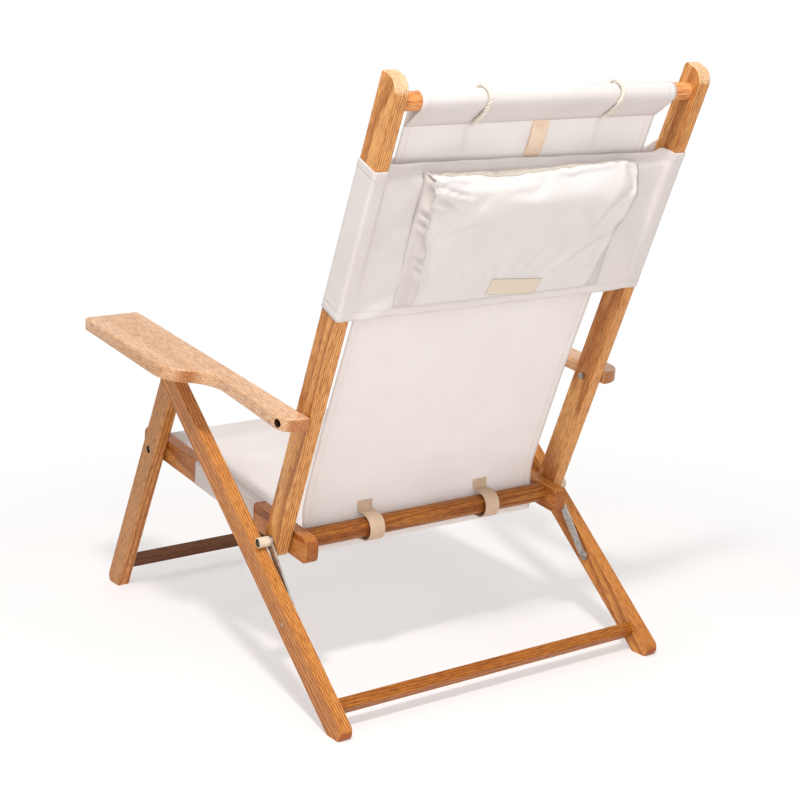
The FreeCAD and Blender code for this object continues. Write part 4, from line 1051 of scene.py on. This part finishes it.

# %% [markdown]
# ## Steel and nylon
#
# Bolts, washers and screws are zinc-plated steel, dull and a little cloudy, and the links are galvanised
# strip, a shade paler. Both are bare metal, so slow noise in colour and roughness is all they need. The
# spacers on the back pivots are moulded nylon: cream and smooth, with painted shade in the recess for the
# bolt's end.

# %% Hardware finishes


def dull_steel(name, shade, rough):
    """Metal with a cloudy plating: slow noise changes its colour and roughness."""
    finish, tree, shader = new_finish(name, Metallic=1.0)
    place = add(tree, "TexCoord", out="Object")
    cloud = add(tree, "TexNoise", {"Vector": place, "Scale": 140.0, "Detail": 3.0})
    tone = add(tree, "ValToRGB", {"Fac": cloud}, stops=[(0.3, shade[0]), (0.7, shade[1])])
    gloss = add(tree, "MapRange", {"Value": cloud, "To Min": rough - 0.08, "To Max": rough + 0.1})
    feed(tree, shader, {"Base Color": tone, "Roughness": gloss})
    return finish


def moulded_nylon(name):
    """Cream polymer: nearly even, with faint flow marks, and painted shade dark in the bolt's recess."""
    finish, tree, shader = new_finish(name, Roughness=0.42, IOR=1.53)
    place = add(tree, "TexCoord", out="Object")
    flow = add(tree, "TexNoise", {"Vector": place, "Scale": 90.0, "Detail": 2.0})
    tone = add(tree, "ValToRGB", {"Fac": flow}, stops=[(0.3, "#D0C1AA"), (0.7, "#DBCFBB")])
    # Painted shade: the recess round the bolt's end is dark brown
    feed(tree, shader, {"Base Color": painted_bore_shade(tree, place, tone, BACK_PIVOT[1:], "#4A3F35")})
    return finish


plated = dull_steel("zinc_plated_steel", ("#8E8A85", "#B5B1AB"), 0.36)
strip_steel = dull_steel("galvanised_steel_strip", ("#A8A39D", "#C9C5BF"), 0.45)
nylon = moulded_nylon("moulded_nylon")
for node_name in nodes:
    if node_name in ("link_left", "link_right"):
        dress(node_name, strip_steel)
    elif node_name.split("_")[-1] in ("bolts", "nuts", "washers", "screws", "barrels", "brads"):
        dress(node_name, plated)
    elif node_name.startswith("nylon"):
        dress(node_name, nylon)
print("hardware dressed")

# %% [markdown]
# ## The studio
#
# The chair stands on a white floor under broad soft light, with the main lamp high on the sitter's left.
# Round the chair the floor is white paper that takes a shadow, but for the camera 42 percent of it is
# plain white glow, which is painted light that makes the shadow paler. Further out it turns, for the
# camera only, into plain white, and so does the sky, so no edge shows and no light is added for it.

# %% Floor
FLOOR_HALF = 9
SHADOW_NEAR, SHADOW_FAR = 0.5, 1.3
WHITE = linear("#FFFFFF")


def shown(tree):
    """1 for camera, mirrored and transmitted rays, which show the backdrop, and 0 for rays that light."""
    rays = add(tree, "LightPath").node.outputs
    seen = add(tree, "Math", {0: rays["Is Camera Ray"], 1: rays["Is Glossy Ray"]}, operation="MAXIMUM")
    return add(tree, "Math", {0: seen, 1: rays["Is Transmission Ray"]}, operation="MAXIMUM")


corners = FLOOR_HALF * np.array([[-1, -1, 0], [1, -1, 0], [1, 1, 0], [-1, 1, 0]])
floor_mesh = bpy.data.meshes.new("floor")
floor_mesh.from_pydata(corners.tolist(), [], [(0, 1, 2, 3)])
floor = bpy.data.objects.new("floor", floor_mesh)
bpy.context.scene.collection.objects.link(floor)

paper, tree, shader = new_finish("white_paper_and_glow_floor", Roughness=0.95, Specular_IOR_Level=0.0)
shader.inputs["Base Color"].default_value = linear("#FBF6F4")
place = add(tree, "TexCoord", out="Object")
away = add(tree, "VectorMath", {0: place}, operation="LENGTH", out="Value")
# Painted light: near the chair the camera sees the paper mixed 42 percent with white glow, paling its shadow
reach = {"Value": away, "From Min": SHADOW_NEAR, "From Max": SHADOW_FAR, "To Min": 0.42}
far = add(tree, "MapRange", reach, interpolation_type="SMOOTHSTEP")
plain = add(tree, "Math", {0: shown(tree), 1: far}, operation="MULTIPLY")
white = add(tree, "Emission", {"Color": WHITE, "Strength": 1.0})
paper_and_glow = add(tree, "MixShader", {"Fac": plain, 1: shader.outputs[0], 2: white})
feed(tree, tree.nodes["Material Output"], {"Surface": paper_and_glow})
floor_mesh.materials.append(paper)
print("floor ready")

# %% Sky
world = bpy.data.worlds.new("studio")
bpy.context.scene.world = world
world.use_nodes = True
tree = world.node_tree
sky = tree.nodes["Background"]
feed(tree, sky, {"Color": linear("#FFFDFC"), "Strength": 0.52})
seen = add(tree, "Background", {"Color": WHITE, "Strength": 1.0})
mixed = add(tree, "MixShader", {"Fac": shown(tree), 1: sky.outputs[0], 2: seen})
feed(tree, tree.nodes["World Output"], {"Surface": mixed})
bpy.context.scene.view_settings.view_transform = "Standard"
print("sky ready")

# %% Lamps


def lamp(name, place, aim, size, power):
    """A square area lamp at a place, turned towards a point."""
    light = bpy.data.lights.new(name, "AREA")
    light.size, light.energy = size, power
    way = np.array(aim, float) - np.array(place, float)
    way /= np.linalg.norm(way)
    side = np.cross(way, [0.0, 0.0, 1.0])
    stand(bpy.data.objects.new(name, light), place, way, side / np.linalg.norm(side))


lamp("key", (1.10, 1.40, 2.85), (0, 0, 0.3), 0.3, 60)
lamp("rear_fill", (1.3, 3.5, 1.1), (0, 0, 0.5), 2.4, 42)
lamp("overhead", (0.0, -0.4, 3.2), (0, 0, 0.3), 1.8, 12)
print("lamps ready")
